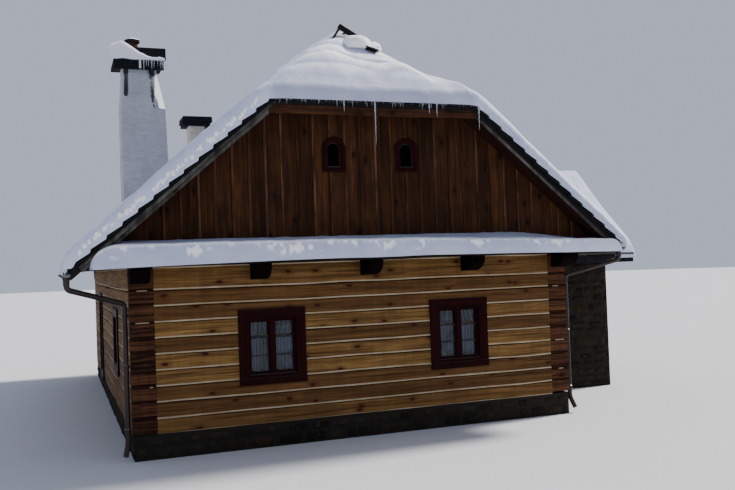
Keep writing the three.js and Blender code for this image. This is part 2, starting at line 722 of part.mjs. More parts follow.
function addSmallChimney() {
  const s = SMALL_CHIMNEY;
  add("small_chimney", box(s.left, s.right, s.front, s.back, 0, s.top), BEIGE_PLASTER);
  const o = SMALL_CAP.overhang;
  const capTop = s.top + SMALL_CAP.height;
  const smallCap = box(s.left - o, s.right + o, s.front - o, s.back + o, s.top + GAP, capTop);
  add("small_chimney_cap", smallCap, BLACK_METAL);
}

// Stone wing: two side walls and a gable end in one mass of masonry, under its own ridged roof

function wingRoofForm(lift) {
  return [
    [WING_EAVE_Y, wingTop(WING_EAVE_Y) + lift],
    [WING_RIDGE_Y, wingTop(WING_RIDGE_Y) + lift],
    [2 * WING_RIDGE_Y - WING_EAVE_Y, wingTop(WING_EAVE_Y) + lift],
  ];
}

function addWing() {
  const under = (y) => wingTop(y) - WING_ROOF_THICKNESS - GAP;
  const body = alongX([
    [WING.front, 0], [WING.back, 0], [WING.back, under(WING.front)],
    [WING_RIDGE_Y, under(WING_RIDGE_Y)], [WING.front, under(WING.front)],
  ], HALF + GAP, WING.end);
  const hollow = box(
    HALF - PAST, WING.end - WING.wall, WING.front + WING.wall, WING.back - WING.wall, -PAST, SKY);
  const walls = cut(body, hollow, mainPlate("right", GAP));
  add("wing_walls", walls, STONE);

  const top = wingRoofForm(0);
  const bottom = wingRoofForm(-WING_ROOF_THICKNESS).reverse();
  const slab = alongX([...top, ...bottom], WING_ROOF_START, WING_VERGE_X);
  const mainBody = alongY([
    [0, 0], [EAVE.right + GAP, 0], [EAVE.right + GAP, mainTop(EAVE.right) + 2 * GAP],
    [0, RIDGE_HEIGHT + 2 * GAP],
  ], 0, LENGTH);
  add("wing_roof", cut(slab, mainBody), ROOF_SHINGLE);
}

// Snow on the main roof and the wing as one blanket, with a round lip along eaves and verges

function blanketForm(left, right, peak, slope, depth) {
  const e = SNOW_EDGE;
  const r = SNOW_RIDGE;
  const top = (value) => peak - slope * Math.abs(value) + depth;
  const half = (edge) => [
    [edge, 0],
    [edge, top(edge) - depth - e.foot],
    [edge + e.belly, top(edge) - depth * e.bellyDrop],
    [edge - e.shoulder, top(edge) - depth * e.shoulderDrop],
    [edge - e.back, top(edge - e.back) - depth * e.backDrop],
    [r.foot, top(r.foot)],
    [r.flat, top(r.level)],
  ];
  const mirrored = half(left + SNOW_LIP).map(([a, b]) => [-a, b]).reverse();
  return [...half(right + SNOW_LIP), ...mirrored];
}

// Space under a ridged roof's outer planes, drawn out past its eaves
function ridgedForm(half, peak, slope) {
  const reach = half + PLANE_REACH;
  const low = peak - slope * reach + GAP;
  return [[-reach, 0], [reach, 0], [reach, low], [0, peak + GAP], [-reach, low]];
}

function addSnow() {
  const middle = LENGTH / 2;
  const y0 = VERGE - VERGE_BOARD_THICKNESS;
  const main = alongY(
    blanketForm(EAVE.left, EAVE.right, RIDGE_HEIGHT, ROOF_SLOPE, SNOW_DEPTH), y0, LENGTH - y0);
  const hipHalf = middle - VERGE;
  const hipPeak = HIP_EAVE_HEIGHT + HIP_SLOPE * hipHalf;
  const reach = EAVE.left + PLANE_REACH + PAST;
  const ends = alongX(blanketForm(hipHalf, hipHalf, hipPeak, HIP_SLOPE, SNOW_DEPTH), -reach, reach)
    .translate(0, middle, 0);
  const over = overlap(main, ends);
  const roofMain = alongY(ridgedForm(EAVE.left, RIDGE_HEIGHT, ROOF_SLOPE), -reach, LENGTH + reach);
  const roofEnds = alongX(ridgedForm(hipHalf, hipPeak, HIP_SLOPE), -reach, reach).translate(0, middle, 0);
  const underRoof = overlap(roofMain, roofEnds);

  const wingHalf = WING_RIDGE_Y - WING_EAVE_Y;
  const wingPeak = wingTop(WING_RIDGE_Y);
  const wingOver = alongX(
    blanketForm(wingHalf, wingHalf, wingPeak, ROOF_SLOPE, SNOW_DEPTH), HALF / 2, WING_VERGE_X + GUARD)
    .translate(0, WING_RIDGE_Y, 0);
  const wingUnder = alongX(ridgedForm(wingHalf, wingPeak, ROOF_SLOPE), 0, WING_VERGE_X + PAST)
    .translate(0, WING_RIDGE_Y, 0);
  const blanket = cut(join(over, wingOver), underRoof, wingUnder);

  const wingRoofSpace = alongX([...wingRoofForm(GAP), ...wingRoofForm(-WING_ROOF_THICKNESS - GAP).reverse()],
    WING_ROOF_START - GAP, WING_VERGE_X + GAP);
  const capHalf = RIDGE_CAP_HALF_WIDTH + GAP;
  const capEdge = mainTop(RIDGE_CAP_HALF_WIDTH) + RIDGE_CAP_THICKNESS + GAP;
  const capFoot = capEdge - PLANE_REACH;
  const capSpace = alongY([
    [-capHalf, capFoot], [-capHalf, capEdge], [0, RIDGE_HEIGHT + RIDGE_CAP_THICKNESS + GAP],
    [capHalf, capEdge], [capHalf, capFoot],
  ], APEX - RIDGE_CAP_OVERHANG - GAP, LENGTH - APEX + RIDGE_CAP_OVERHANG + GAP);
  const o = SMALL_CAP.overhang + GAP;
  const s = SMALL_CHIMNEY;
  const smallCapSpace = box(s.left - o, s.right + o, s.front - o, s.back + o, s.top, SKY);
  const whole = cut(blanket, ...chimneyShafts(GAP), wingRoofSpace, capSpace, smallCapSpace,
    vergeForm(2 * GAP), mirrorToBack(vergeForm(2 * GAP)));
  add("roof_snow", whole, SNOW);
}

// Gutters along the eaves, and a rain pipe that swings back from each front eave corner to the wall

function gutterForm(x, z) {
  const shape = new THREE.Shape();
  shape.absarc(x, z, GUTTER_RADIUS, Math.PI, 2 * Math.PI, false);
  shape.absarc(x, z, GUTTER_RADIUS - GUTTER_WALL, 2 * Math.PI, Math.PI, true);
  shape.closePath();
  return shape;
}

function pipeAlong(points) {
  const circle = new THREE.Shape();
  circle.absarc(0, 0, PIPE_RADIUS, 0, 2 * Math.PI, false);
  const pieces = [];
  for (let index = 1; index < points.length; index += 1) {
    const from = new THREE.Vector3(...points[index - 1]);
    const to = new THREE.Vector3(...points[index]);
    const length = from.distanceTo(to);
    const tube = new THREE.CylinderGeometry(PIPE_RADIUS, PIPE_RADIUS, length, PIPE_SIDES);
    const turn = new THREE.Quaternion().setFromUnitVectors(
      new THREE.Vector3(0, 1, 0), to.clone().sub(from).normalize());
    tube.applyQuaternion(turn);
    tube.translate(...from.clone().add(to).multiplyScalar(0.5).toArray());
    pieces.push(tube);
    if (index < points.length - 1) {
      pieces.push(new THREE.SphereGeometry(ELBOW_RADIUS, PIPE_SIDES, 8).translate(...to.toArray()));
    }
  }
  return join(...pieces);
}

function addRainwater() {
  const wallX = HALF + PIPE_RADIUS + PIPE_WALL_GAP;
  const wallY = PIPE_RADIUS + PIPE_FRONT_INSET;
  const y = VERGE + PIPE_OUTLET.inset;
  const runs = { left: [VERGE, LENGTH - VERGE], right: [VERGE, WING_EAVE_Y - SNOW_LIP - GUTTER_END_GAP] };
  for (const [name, side] of [["left", -1], ["right", 1]]) {
    const [y0, y1] = runs[name];
    const x = EAVE[name] + GUTTER_RADIUS + GAP;
    const z = mainTop(EAVE[name]) - ROOF_THICKNESS + GUTTER_LIFT;
    const top = z - GUTTER_RADIUS - GAP;
    add(`${name}_gutter`, alongY(gutterForm(side * x, z), y0, y1), PIPE_METAL);
    const pipe = pipeAlong([
      [side * x, y, top],
      [side * x, y, top - PIPE_OUTLET.length],
      [side * wallX, wallY, top - PIPE_OUTLET.drop],
      [side * wallX, wallY, PIPE_FOOT],
    ]);
    add(`${name}_downpipe`, pipe, PIPE_METAL);
  }
}

addBase();
addWalls();
addAtticFloor();
addConsoles();
addRoof();
addGables();
addPents();
addWindows();
addAtticWindows();
addLargeChimney();
addPot();
addChimneySnow();
addSmallChimney();
addWing();
addSnow();
addRainwater();

// The part's origin is the middle of its footprint, on the ground
const bounds = new THREE.Box3().setFromObject(house);
const middle = bounds.getCenter(new THREE.Vector3());
house.position.set(-middle.x, -middle.y, 0);
house.updateMatrixWorld(true);

export default house;
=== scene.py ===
"""Dresses the log chalet: hewn logs with chinking, boarded gables, windows, chimneys, stonework, rain pipes, snow.

Metres, +Z up, front gable towards -Y. Pieces are drawn in the house's own frame, with X = 0 in the middle of its
width, Y = 0 on the outer face of the front log wall and Z = 0 on the ground, and moved to the part's frame at the end.
"""

import functools
import itertools
import json
import math

import bpy
import numpy as np
from mathutils import Matrix, Vector

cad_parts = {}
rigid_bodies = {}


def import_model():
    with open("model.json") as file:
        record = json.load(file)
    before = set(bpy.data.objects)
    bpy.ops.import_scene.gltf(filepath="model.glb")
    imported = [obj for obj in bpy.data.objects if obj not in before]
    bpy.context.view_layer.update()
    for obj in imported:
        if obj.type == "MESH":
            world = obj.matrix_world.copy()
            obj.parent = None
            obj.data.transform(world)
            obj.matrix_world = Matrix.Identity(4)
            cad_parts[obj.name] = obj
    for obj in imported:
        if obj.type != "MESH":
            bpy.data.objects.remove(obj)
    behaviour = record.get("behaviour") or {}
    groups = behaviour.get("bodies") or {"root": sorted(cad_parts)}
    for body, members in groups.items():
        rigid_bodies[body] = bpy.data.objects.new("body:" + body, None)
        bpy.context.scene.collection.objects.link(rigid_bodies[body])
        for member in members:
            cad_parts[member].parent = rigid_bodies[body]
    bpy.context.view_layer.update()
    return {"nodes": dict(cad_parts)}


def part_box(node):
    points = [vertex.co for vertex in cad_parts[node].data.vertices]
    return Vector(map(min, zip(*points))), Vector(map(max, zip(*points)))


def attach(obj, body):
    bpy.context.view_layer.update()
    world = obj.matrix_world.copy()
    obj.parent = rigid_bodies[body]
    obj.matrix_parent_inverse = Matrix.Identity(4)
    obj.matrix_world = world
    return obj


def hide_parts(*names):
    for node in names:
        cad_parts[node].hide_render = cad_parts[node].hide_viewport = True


bl_info = {
    "name": "Snow-covered log chalet",
    "version": (1, 0, 0),
    "blender": (4, 5, 0),
    "location": "3D View > Sidebar > Chalet",
    "description": "Builds the visible surfaces of a snow-covered log chalet around its frame",
    "category": "Object",
}

for unused in list(bpy.data.objects):
    bpy.data.objects.remove(unused)
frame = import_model()


# Sizes read from the frame


def corners(node):
    """Lowest and highest corner of a node in the house's own frame."""
    return [np.array(corner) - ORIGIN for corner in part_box(node)]


_low, _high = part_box("front_log_wall")
ORIGIN = np.array([(_low.x + _high.x) / 2, _low.y, 0.0])
HALF, WALL_TOP, LOG_DEPTH = (_high.x - _low.x) / 2, _high.z, _high.y - _low.y
PLINTH_TOP, LENGTH = corners("stone_plinth")[1][2], corners("back_log_wall")[1][1]
COURSE, COURSES = 0.254, 10
JOINTS = np.append(PLINTH_TOP + COURSE * np.arange(COURSES), WALL_TOP)
ROOF_THICKNESS = 0.23
(_, _, _eave), (_right, _, RIDGE) = corners("roof_right")
EAVES = {-1: -corners("roof_left")[0][0], 1: _right}
SLOPE = (RIDGE - ROOF_THICKNESS - _eave) / EAVES[1]
STRETCH = math.hypot(1.0, SLOPE)
(_, VERGE, _foot), (HIP_CORNER, APEX, _) = corners("front_hip")
HIP_EAVE = _foot + ROOF_THICKNESS
HIP_SLOPE = (RIDGE - HIP_EAVE) / (APEX - VERGE)
(_, GABLE_FACE, GABLE_FOOT), (GABLE_EDGE, _, _) = corners("front_gable")
(_, PENT_FRONT, _), (_, _, PENT_BACK) = corners("front_pent_roof")
(_, WING_FRONT, _), (WING_END, WING_BACK, _) = corners("wing_walls")
(_, WING_EAVE_Y, _), (WING_VERGE, _, WING_RIDGE) = corners("wing_roof")
WING_RIDGE_Y = (WING_FRONT + WING_BACK) / 2
WING_REACH = WING_RIDGE_Y - WING_EAVE_Y
TRIM, LINING, ATTIC_TRIM = 0.11, 0.06, 0.062
UP, OUT = np.array([0.0, 0.0, 1.0]), np.array([0.0, -1.0, 0.0])


def main_top(x):
    """Height of the main roof's outer planes."""
    return RIDGE - SLOPE * np.abs(x)


def hip_top(y):
    """Height of the hips' outer planes, the front one or the back one."""
    return HIP_EAVE + HIP_SLOPE * np.minimum(y - VERGE, LENGTH - y - VERGE)


def wing_top(y):
    """Height of the wing roof's outer planes."""
    return WING_RIDGE - SLOPE * np.abs(y - WING_RIDGE_Y)


def ways_of(side):
    """Down the main roof's slope on one side, and out of its face, one metre each."""
    return np.array([side, 0.0, -SLOPE]) / STRETCH, np.array([side * SLOPE, 0.0, 1.0]) / STRETCH


# Every wall's origin, and its ways along, inward and up; the pieces on a wall are drawn as on the front one
WALLS = {
    name: (np.array([x, y, 0.0]), np.array([[along_x, along_y, 0.0], [-along_y, along_x, 0.0], UP]))
    for name, x, y, along_x, along_y in (
        ("front", 0.0, 0.0, 1.0, 0.0), ("back", 0.0, LENGTH, -1.0, 0.0),
        ("right", HALF, 0.0, 0.0, 1.0), ("left", -HALF, 0.0, 0.0, -1.0))
}


def on_wall(points, wall):
    """Turns points at s, depth and height on the front wall to their place on any wall."""
    origin, basis = WALLS[wall]
    return points @ basis + origin


def opening_on(wall, node):
    """Middle of an opening along its wall, its outer half width, and its outer foot and head."""
    origin, basis = WALLS[wall]
    low, high = corners(node)
    ends = [(corner - origin) @ basis[0] for corner in (low, high)]
    return (ends[0] + ends[1]) / 2, abs(ends[1] - ends[0]) / 2, low[2], high[2]


WINDOWS = {
    "front_window_left": "front", "front_window_right": "front", "back_window_left": "back",
    "back_window_right": "back", "left_window": "left", "right_window": "right",
}
OPENINGS = {
    wall: [opening_on(wall, f"{name}_frame") for name, at in WINDOWS.items() if at == wall] for wall in WALLS
}
OPENINGS["left"].append(opening_on("left", "door_frame"))


# Noise and meshes from whole arrays

join, seeded = np.concatenate, np.random.default_rng


def columns(*parts):
    """Arrays of coordinates, spread to one shape and set side by side as points."""
    return np.stack(np.broadcast_arrays(*parts), axis=-1)


def ramp(values, low=0.0, high=1.0):
    """0 at low to 1 at high, and no further."""
    return np.clip((values - low) / (high - low), 0.0, 1.0)


def crossed(a, b):
    """Two lists of places as the two coordinates of a grid, rows along the first."""
    return np.meshgrid(a, b, indexing="ij")


def circle(sides):
    """Angles round a full turn."""
    return np.linspace(0, 2 * np.pi, sides + 1)[:-1]


def unit_vector(v):
    """Vectors along the last axis, brought to the length of one."""
    return v / np.linalg.norm(v, axis=-1, keepdims=True)


def noise(points, scale, seed):
    """Smooth noise from -1 to 1: random values at the corners of a cube grid, blended by 3t squared less 2t cubed."""
    size = 32
    table = seeded(seed).uniform(-1.0, 1.0, (size, size, size))
    place = np.asarray(points, float) * scale + seed * 0.37
    cell = np.floor(place).astype(int)
    t = place - cell
    t = t * t * (3.0 - 2.0 * t)
    total = np.zeros(place.shape[:-1])
    for corner in itertools.product((0, 1), repeat=3):
        index = (cell + corner) % size
        weight = np.prod(np.where(np.array(corner) == 1, t, 1.0 - t), axis=-1)
        total += weight * table[index[..., 0], index[..., 1], index[..., 2]]
    return total


def lumps(points, scale, seed, octaves=3):
    """Noise summed over octaves, each twice as fine and half as strong."""
    return sum(noise(points, scale * 2**k, seed + k) / 2**k for k in range(octaves))


def numbered(rows, places):
    """Point numbers of a grid."""
    return np.arange(rows * places).reshape(rows, places)


def grid_faces(index):
    """Four-cornered faces over a grid of point numbers, facing the way of rows crossed with columns."""
    return np.stack([index[:-1, :-1], index[1:, :-1], index[1:, 1:], index[:-1, 1:]], axis=-1).reshape(-1, 4)


def wrapped(index):
    """A grid of point numbers whose last column is its first again."""
    return join([index, index[:, :1]], axis=1)


def ladder(ring):
    """Closes a ring of an even number of points with a ladder of four-cornered faces."""
    half = len(ring) // 2
    return np.stack([ring[: half - 1], ring[1:half], ring[::-1][1:half], ring[::-1][: half - 1]], axis=-1)


def linked(name, data):
    """A new object in the scene."""
    made = bpy.data.objects.new(name, data)
    bpy.context.scene.collection.objects.link(made)
    return made


class Surface:
    """Collects closed forms, each with its grain coordinates and tone, and makes one mesh of them."""

    def __init__(self):
        self.points, self.faces, self.grain, self.tone, self.slots = [], [], [], [], []
        self.count = 0

    def add(self, points, faces, grain=None, tone=0.5, slot=0):
        points = np.asarray(points, float).reshape(-1, 3)
        self.points.append(points)
        self.faces.append(faces + self.count)
        self.grain.append(points if grain is None else np.asarray(grain, float).reshape(-1, 3))
        self.tone.append(np.broadcast_to(np.asarray(tone, float).reshape(-1), (len(points),)))
        self.slots.append(np.full(len(faces), slot))
        self.count += len(points)

    def tube(self, rings, grain=None, tone=0.5, slot=0):
        """A form carried along a path: rings is stations by ring points, each ring anticlockwise about the path."""
        index = numbered(*rings.shape[:2])
        faces = join([grid_faces(wrapped(index))[:, ::-1], ladder(index[0])[:, ::-1], ladder(index[-1])])
        self.add(rings, faces, grain, tone, slot)

    def pillow(self, front, back, grain=None, tone=0.5):
        """Two grids that share their border: the front one faces the way of rows crossed with columns."""
        rows, places = front.shape[:2]
        index = numbered(rows, places)
        behind = index.copy()
        behind[1:-1, 1:-1] = numbered(rows - 2, places - 2) + index.size

        def both(a, b):
            return join([a.reshape(index.size, -1), b[1:-1, 1:-1].reshape((rows - 2) * (places - 2), -1)])
        self.add(both(front, back), join([grid_faces(index), grid_faces(behind)[:, ::-1]]),
                 None if grain is None else both(grain, grain), both(tone, tone) if np.ndim(tone) == 2 else tone)

    def board(self, start, end, width, thickness, face, seed, wave=0.0015, edge=0.004, tone=None, slot=0, step=0.2):
        """A board from start to end: a rectangle with rounded edges carried along the line, moved a little by noise.

        The ring has three points on each rounded corner and three across each broad side; face is the way that one
        broad side looks. The grain runs along the board, with its own start for each board.
        """
        start, end, face = (np.asarray(v, float) for v in (start, end, face))
        length = np.linalg.norm(end - start)
        along = (end - start) / length
        face = unit_vector(face - along * (face @ along))
        side = np.cross(face, along)
        rng = seeded(seed)
        turn = np.radians([0.0, 45.0, 90.0])
        reach = (width / 2 - edge, thickness / 2 - edge)
        corner = edge * columns(np.cos(turn), np.sin(turn))
        top = columns(np.linspace(0.5, -0.5, 3) * reach[0], thickness / 2)
        ring = join([corner + reach, top, (corner[::-1] + reach) * (-1, 1)])
        ring = join([ring, -ring])
        s = np.linspace(0.0, length, max(2, int(length / step) + 2))[:, None]
        grain = columns(s, *ring.T)
        probe = grain * (1.0, 5.0, 5.0) + rng.uniform(0, 90, 3)
        a, f = [(ring[:, k] + wave * noise(probe, 1.3, seed + k))[..., None] for k in (0, 1)]
        tone = rng.random() if tone is None else tone
        self.tube(start + s[..., None] * along + a * side + f * face, grain + rng.uniform(0, 40, 3), tone, slot)

    def level(self, s0, s1, y, z, width, thickness, seed, **more):
        """A level board that faces out, from s0 to s1."""
        self.board((s0, y, z), (s1, y, z), width, thickness, OUT, seed, **more)

    def upright(self, s, y, z0, z1, width, thickness, seed, **more):
        """An upright board that faces out, from z0 to z1."""
        self.board((s, y, z0), (s, y, z1), width, thickness, OUT, seed, **more)

    def place(self, wall):
        """Takes what was drawn on the front wall to its place on any wall."""
        self.points = [on_wall(p, wall) for p in self.points]
        return self

    def at_end(self, end):
        """Mirrors a piece of the front to the same place at the back, if that is its end."""
        if end == "back":
            self.points = [p * (1.0, -1.0, 1.0) + (0.0, LENGTH, 0.0) for p in self.points]
            self.faces = [faces[:, ::-1] for faces in self.faces]
        return self

    def mesh(self, name, materials, slot, replaces=(), sharp=38.0):
        """Makes the mesh object at the origin, with its grain and tone, and lets it ride on the house."""
        made = bpy.data.meshes.new(name)
        made.from_pydata(join(self.points) + ORIGIN, [], join(self.faces))
        made.attributes.new("grain", "FLOAT_VECTOR", "POINT").data.foreach_set("vector", join(self.grain).ravel())
        made.attributes.new("tone", "FLOAT", "POINT").data.foreach_set("value", join(self.tone))
        for material in materials:
            made.materials.append(material)
        made.polygons.foreach_set("material_index", join(self.slots).astype(np.int32))
        made.shade_smooth()
        made.set_sharp_from_angle(angle=math.radians(sharp))
        piece = linked(name, made)
        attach(piece, "root")
        if replaces:
            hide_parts(*replaces)
        return piece


# Materials


class Tree:
    """Places shader nodes in one tree and links their sockets."""

    def __init__(self, tree):
        self.tree = tree

    @classmethod
    def of(cls, name):
        """The tree of a new material."""
        made = bpy.data.materials.new(name)
        made.use_nodes = True
        t = cls(made.node_tree)
        t.material = made
        return t

    def looks(self, base, roughness, normal, **constants):
        """Links the shader's varying inputs, sets its constants, and gives the material."""
        shader = self.tree.nodes["Principled BSDF"]
        constants.update(Base_Color=base, Roughness=roughness, Normal=normal)
        for key, value in constants.items():
            self.feed(shader.inputs[key.replace("_", " ")], value)
        return self.material

    def node(self, kind, inputs=None, **settings):
        made = self.tree.nodes.new("ShaderNode" + kind)
        for key, value in settings.items():
            setattr(made, key, value)
        for key, value in (inputs or {}).items():
            self.feed(made.inputs[key], value)
        return made

    def feed(self, socket, value):
        if isinstance(value, bpy.types.NodeSocket):
            self.tree.links.new(value, socket)
        else:
            socket.default_value = value

    def math(self, operation, a, b=0.0):
        return self.node("Math", {0: a, 1: b}, operation=operation).outputs[0]

    def plus(self, a, b):
        return self.math("ADD", a, b)

    def less(self, a, b):
        return self.math("SUBTRACT", a, b)

    def times(self, a, b):
        return self.math("MULTIPLY", a, b)

    def span(self, value, low, high, to_low=0.0, to_high=1.0):
        """Maps a value from low..high to to_low..to_high, clamped."""
        inputs = {"Value": value, "From Min": low, "From Max": high, "To Min": to_low, "To Max": to_high}
        return self.node("MapRange", inputs).outputs[0]

    def scaled(self, vector, *factors):
        return self.node("VectorMath", {0: vector, 1: factors}, operation="MULTIPLY").outputs[0]

    def noise(self, vector, scale, detail=4.0, roughness=0.55):
        inputs = {"Vector": vector, "Scale": scale, "Detail": detail, "Roughness": roughness}
        return self.node("TexNoise", inputs).outputs[0]

    def cells(self, vector, scale, **settings):
        return self.node("TexVoronoi", {"Vector": vector, "Scale": scale}, **settings).outputs["Distance"]

    def mix(self, factor, a, b):
        made = self.node("Mix", data_type="RGBA")
        for key, value in ((0, factor), (6, a), (7, b)):
            color = key and not isinstance(value, bpy.types.NodeSocket)
            self.feed(made.inputs[key], (*value, 1.0) if color else value)
        return made.outputs[2]

    def bump(self, height, strength, distance, **normal):
        inputs = {"Height": height, "Strength": strength, "Distance": distance, **normal}
        return self.node("Bump", inputs).outputs[0]

    def group(self, name, **inputs):
        return self.node("Group", inputs, node_tree=bpy.data.node_groups[name]).outputs

    def weather(self, scale):
        return self.group("Weathering", Vector=self.place(), Scale=scale)

    def dusted(self, base, amount):
        """The base colour under some snow, if there is any."""
        if not amount:
            return base
        return self.mix(self.group("Settled snow", Vector=self.place(), Amount=amount)["Cover"], base, SNOW_DUST)

    def place(self):
        return self.node("TexCoord").outputs["Object"]

    def grain(self):
        return self.node("Attribute", attribute_name="grain").outputs["Vector"]

    def tone(self, *reach):
        """A span of the piece's own tone."""
        return self.span(self.node("Attribute", attribute_name="tone").outputs["Fac"], *reach)

    def upward(self):
        """How far the surface looks up, from -1 to 1."""
        return self.node("SeparateXYZ", {0: self.node("NewGeometry").outputs["Normal"]}).outputs["Z"]


SNOW_DUST = (0.80, 0.86, 0.96)


def times(color, *factors):
    """A colour times one factor, or times one for each channel."""
    return tuple(np.array(color) * factors)


def node_group(name, build, **inputs):
    """Makes a shader group: inputs are name to default, and build gives each output's socket."""
    tree = bpy.data.node_groups.new(name, "ShaderNodeTree")
    tree.interface.new_socket("Vector", in_out="INPUT", socket_type="NodeSocketVector")
    for label, value in inputs.items():
        socket = tree.interface.new_socket(label, in_out="INPUT", socket_type="NodeSocketFloat")
        socket.default_value = value
    made = build(Tree(tree), tree.nodes.new("NodeGroupInput").outputs)
    for label in made:
        tree.interface.new_socket(label, in_out="OUTPUT", socket_type="NodeSocketFloat")
    leaving = tree.nodes.new("NodeGroupOutput")
    for label, socket in made.items():
        tree.links.new(socket, leaving.inputs[label])


def wood_figure(t, given):
    """Grain drawn out along X: broad streaks, fine fibres, cracks, and knots with a halo, set out over X and Y."""
    vector = given["Vector"]
    bend = t.noise(t.scaled(vector, 0.7, 2.0, 2.0), 1.0, 2.0)
    drawn = {0: t.scaled(vector, 0.20, 8.0, 8.0), 1: t.node("CombineXYZ", {"Y": bend, "Z": bend}).outputs[0]}
    streaks = t.noise(t.node("VectorMath", drawn, operation="ADD").outputs[0], given["Fineness"], 5.0, 0.62)
    fibres = t.noise(t.scaled(vector, 1.0, 60.0, 60.0), 1.0, 3.0, 0.6)
    spots = t.cells(t.scaled(vector, 1.3, 2.5, 1.0), 1.0, voronoi_dimensions="2D")
    spots = t.plus(spots, t.times(t.noise(vector, 22.0, 3.0), 0.08))
    cracks = t.span(t.noise(t.scaled(vector, 0.40, 26.0, 26.0), 1.0, 3.0, 0.5), 0.37, 0.31)
    height = t.less(t.plus(t.times(streaks, 0.6), t.times(fibres, 0.3)), t.times(cracks, 0.9))
    return {"Streaks": streaks, "Fibres": fibres, "Knots": t.times(t.span(spots, 0.125, 0.085), given["Knots"]),
            "Halo": t.times(t.span(spots, 0.24, 0.11), given["Knots"]), "Cracks": cracks, "Height": height}


def weathering(t, given):
    """Broad blotches, fine specks, and streaks that run down the surface."""
    vector = given["Vector"]
    return {"Blotches": t.span(t.noise(vector, given["Scale"], 5.0, 0.6), 0.32, 0.68),
            "Specks": t.noise(vector, 60.0, 3.0, 0.7),
            "Runs": t.span(t.noise(t.scaled(vector, 9.0, 9.0, 0.5), 1.0, 4.0, 0.6), 0.4, 0.72)}


def settled_snow(t, given):
    """Snow that has settled on what looks up, with a ragged edge."""
    cover = t.plus(t.upward(), t.times(t.less(t.noise(given["Vector"], 14.0, 3.0), 0.5), 0.9))
    return {"Cover": t.times(t.span(cover, 0.62, 0.86), given["Amount"])}


def make_groups():
    node_group("Wood figure", wood_figure, Fineness=3.0, Knots=1.0)
    node_group("Weathering", weathering, Scale=1.5)
    node_group("Settled snow", settled_snow, Amount=1.0)


def wood(name, light, dark, knot, other=None, fineness=3.0, knots=1.0, depth=0.004, rough=0.75, dirt=0.25,
         dusted=0.0, gloss=0.1, patches=0.35, turn=None):
    """Sawn or hewn wood: grain from light to dark, boards that differ towards the other colour, broad dark patches,
    knots, cracks, and dirt that runs down. With a turn, the grain follows the place instead of the piece's own."""
    t = Tree.of(name)
    weather = t.weather(1.4)
    if turn is None:
        vector, own = t.grain(), t.tone
    else:
        vector = t.node("Mapping", {"Vector": t.place(), "Rotation": turn}).outputs[0]
        own = functools.partial(t.span, weather["Blotches"])
    figure = t.group("Wood figure", Vector=vector, Fineness=fineness, Knots=knots)
    base = light if other is None else t.mix(own(0.2, 0.8), light, other)
    base = t.mix(t.plus(t.span(figure["Streaks"], 0.36, 0.64, 0.0, 0.85), own(0.6, 1.2, 0.0, 0.5)), base, dark)
    base = t.mix(t.times(t.span(t.noise(vector, 1.7, 4.0, 0.6), 0.45, 0.68), patches), base, dark)
    base = t.mix(t.span(figure["Fibres"], 0.40, 0.70, 0.0, 0.45), base, dark)
    base = t.mix(t.times(weather["Runs"], dirt), base, times(dark, 0.35))
    base = t.mix(t.times(figure["Cracks"], 0.8), base, times(dark, 0.25))
    base = t.mix(t.times(figure["Halo"], 0.55), base, dark)
    base = t.dusted(t.mix(figure["Knots"], base, knot), dusted)
    return t.looks(base, t.span(figure["Fibres"], 0.2, 0.8, rough - 0.12, rough + 0.15),
                   t.bump(figure["Height"], 0.9, depth), Specular_IOR_Level=gloss)


def painted_metal(name, color, worn, rough=0.45, dusted=0.0, metallic=0.6, gloss=0.3):
    """Painted sheet metal: faded blotches, specks of wear, a faint dent in the sheet."""
    t = Tree.of(name)
    weather = t.weather(3.0)
    base = t.mix(t.times(weather["Blotches"], 0.6), color, worn)
    base = t.mix(t.span(weather["Specks"], 0.62, 0.72, 0.0, 0.5), base, times(color, 0.4))
    base = t.dusted(t.mix(t.times(weather["Runs"], 0.25), base, times(worn, 0.5)), dusted)
    height = t.plus(t.noise(t.place(), 4.0, 3.0), t.times(weather["Specks"], 0.12))
    return t.looks(base, t.span(weather["Blotches"], 0.0, 1.0, rough - 0.1, rough + 0.2), t.bump(height, 0.6, 0.008),
                   Metallic=metallic, Specular_IOR_Level=gloss)


def masonry(name, color, shade, grit=0.004, stain=0.3, stained_tone=None, scale=1.2, coarse=26.0, coursed=0.0):
    """Plaster, mortar or stone: broad patches, grit, dirt that runs down, short level dashes where brick courses
    show through, and a tone that paints in a stain above zero and a painted highlight, near white, below zero."""
    t = Tree.of(name)
    place, weather = t.place(), t.weather(scale)
    base = t.mix(t.times(weather["Blotches"], 0.75), color, shade)
    base = t.mix(t.span(weather["Specks"], 0.5, 0.75, 0.0, 0.45), base, times(shade, 0.55))
    base = t.mix(t.times(weather["Runs"], stain), base, times(shade, 0.45))
    height = t.plus(t.noise(place, coarse, 5.0, 0.65), t.times(weather["Specks"], 0.5))
    if coursed:
        dashes = t.noise(t.scaled(place, 0.35 / coursed, 0.35 / coursed, 1.25 / coursed), 1.0, 4.0, 0.55)
        height = t.plus(height, t.times(dashes, 2.5))
        base = t.mix(t.span(dashes, 0.52, 0.70, 0.0, 0.3), base, times(shade, 0.5))
        base = t.mix(t.span(dashes, 0.44, 0.34, 0.0, 0.25), base, np.minimum(times(color, 1.25), 1.0))
    if stained_tone is not None:
        base = t.mix(t.tone(0.25, 0.75), base, stained_tone)
        # Painted highlight: a negative tone mixes towards near white.
        base = t.mix(t.tone(-0.1, -1.0), base, (0.92, 0.92, 0.88))
    return t.looks(base, t.span(weather["Specks"], 0.2, 0.8, 0.78, 0.98), t.bump(height, 0.9, grit),
                   Specular_IOR_Level=0.2)


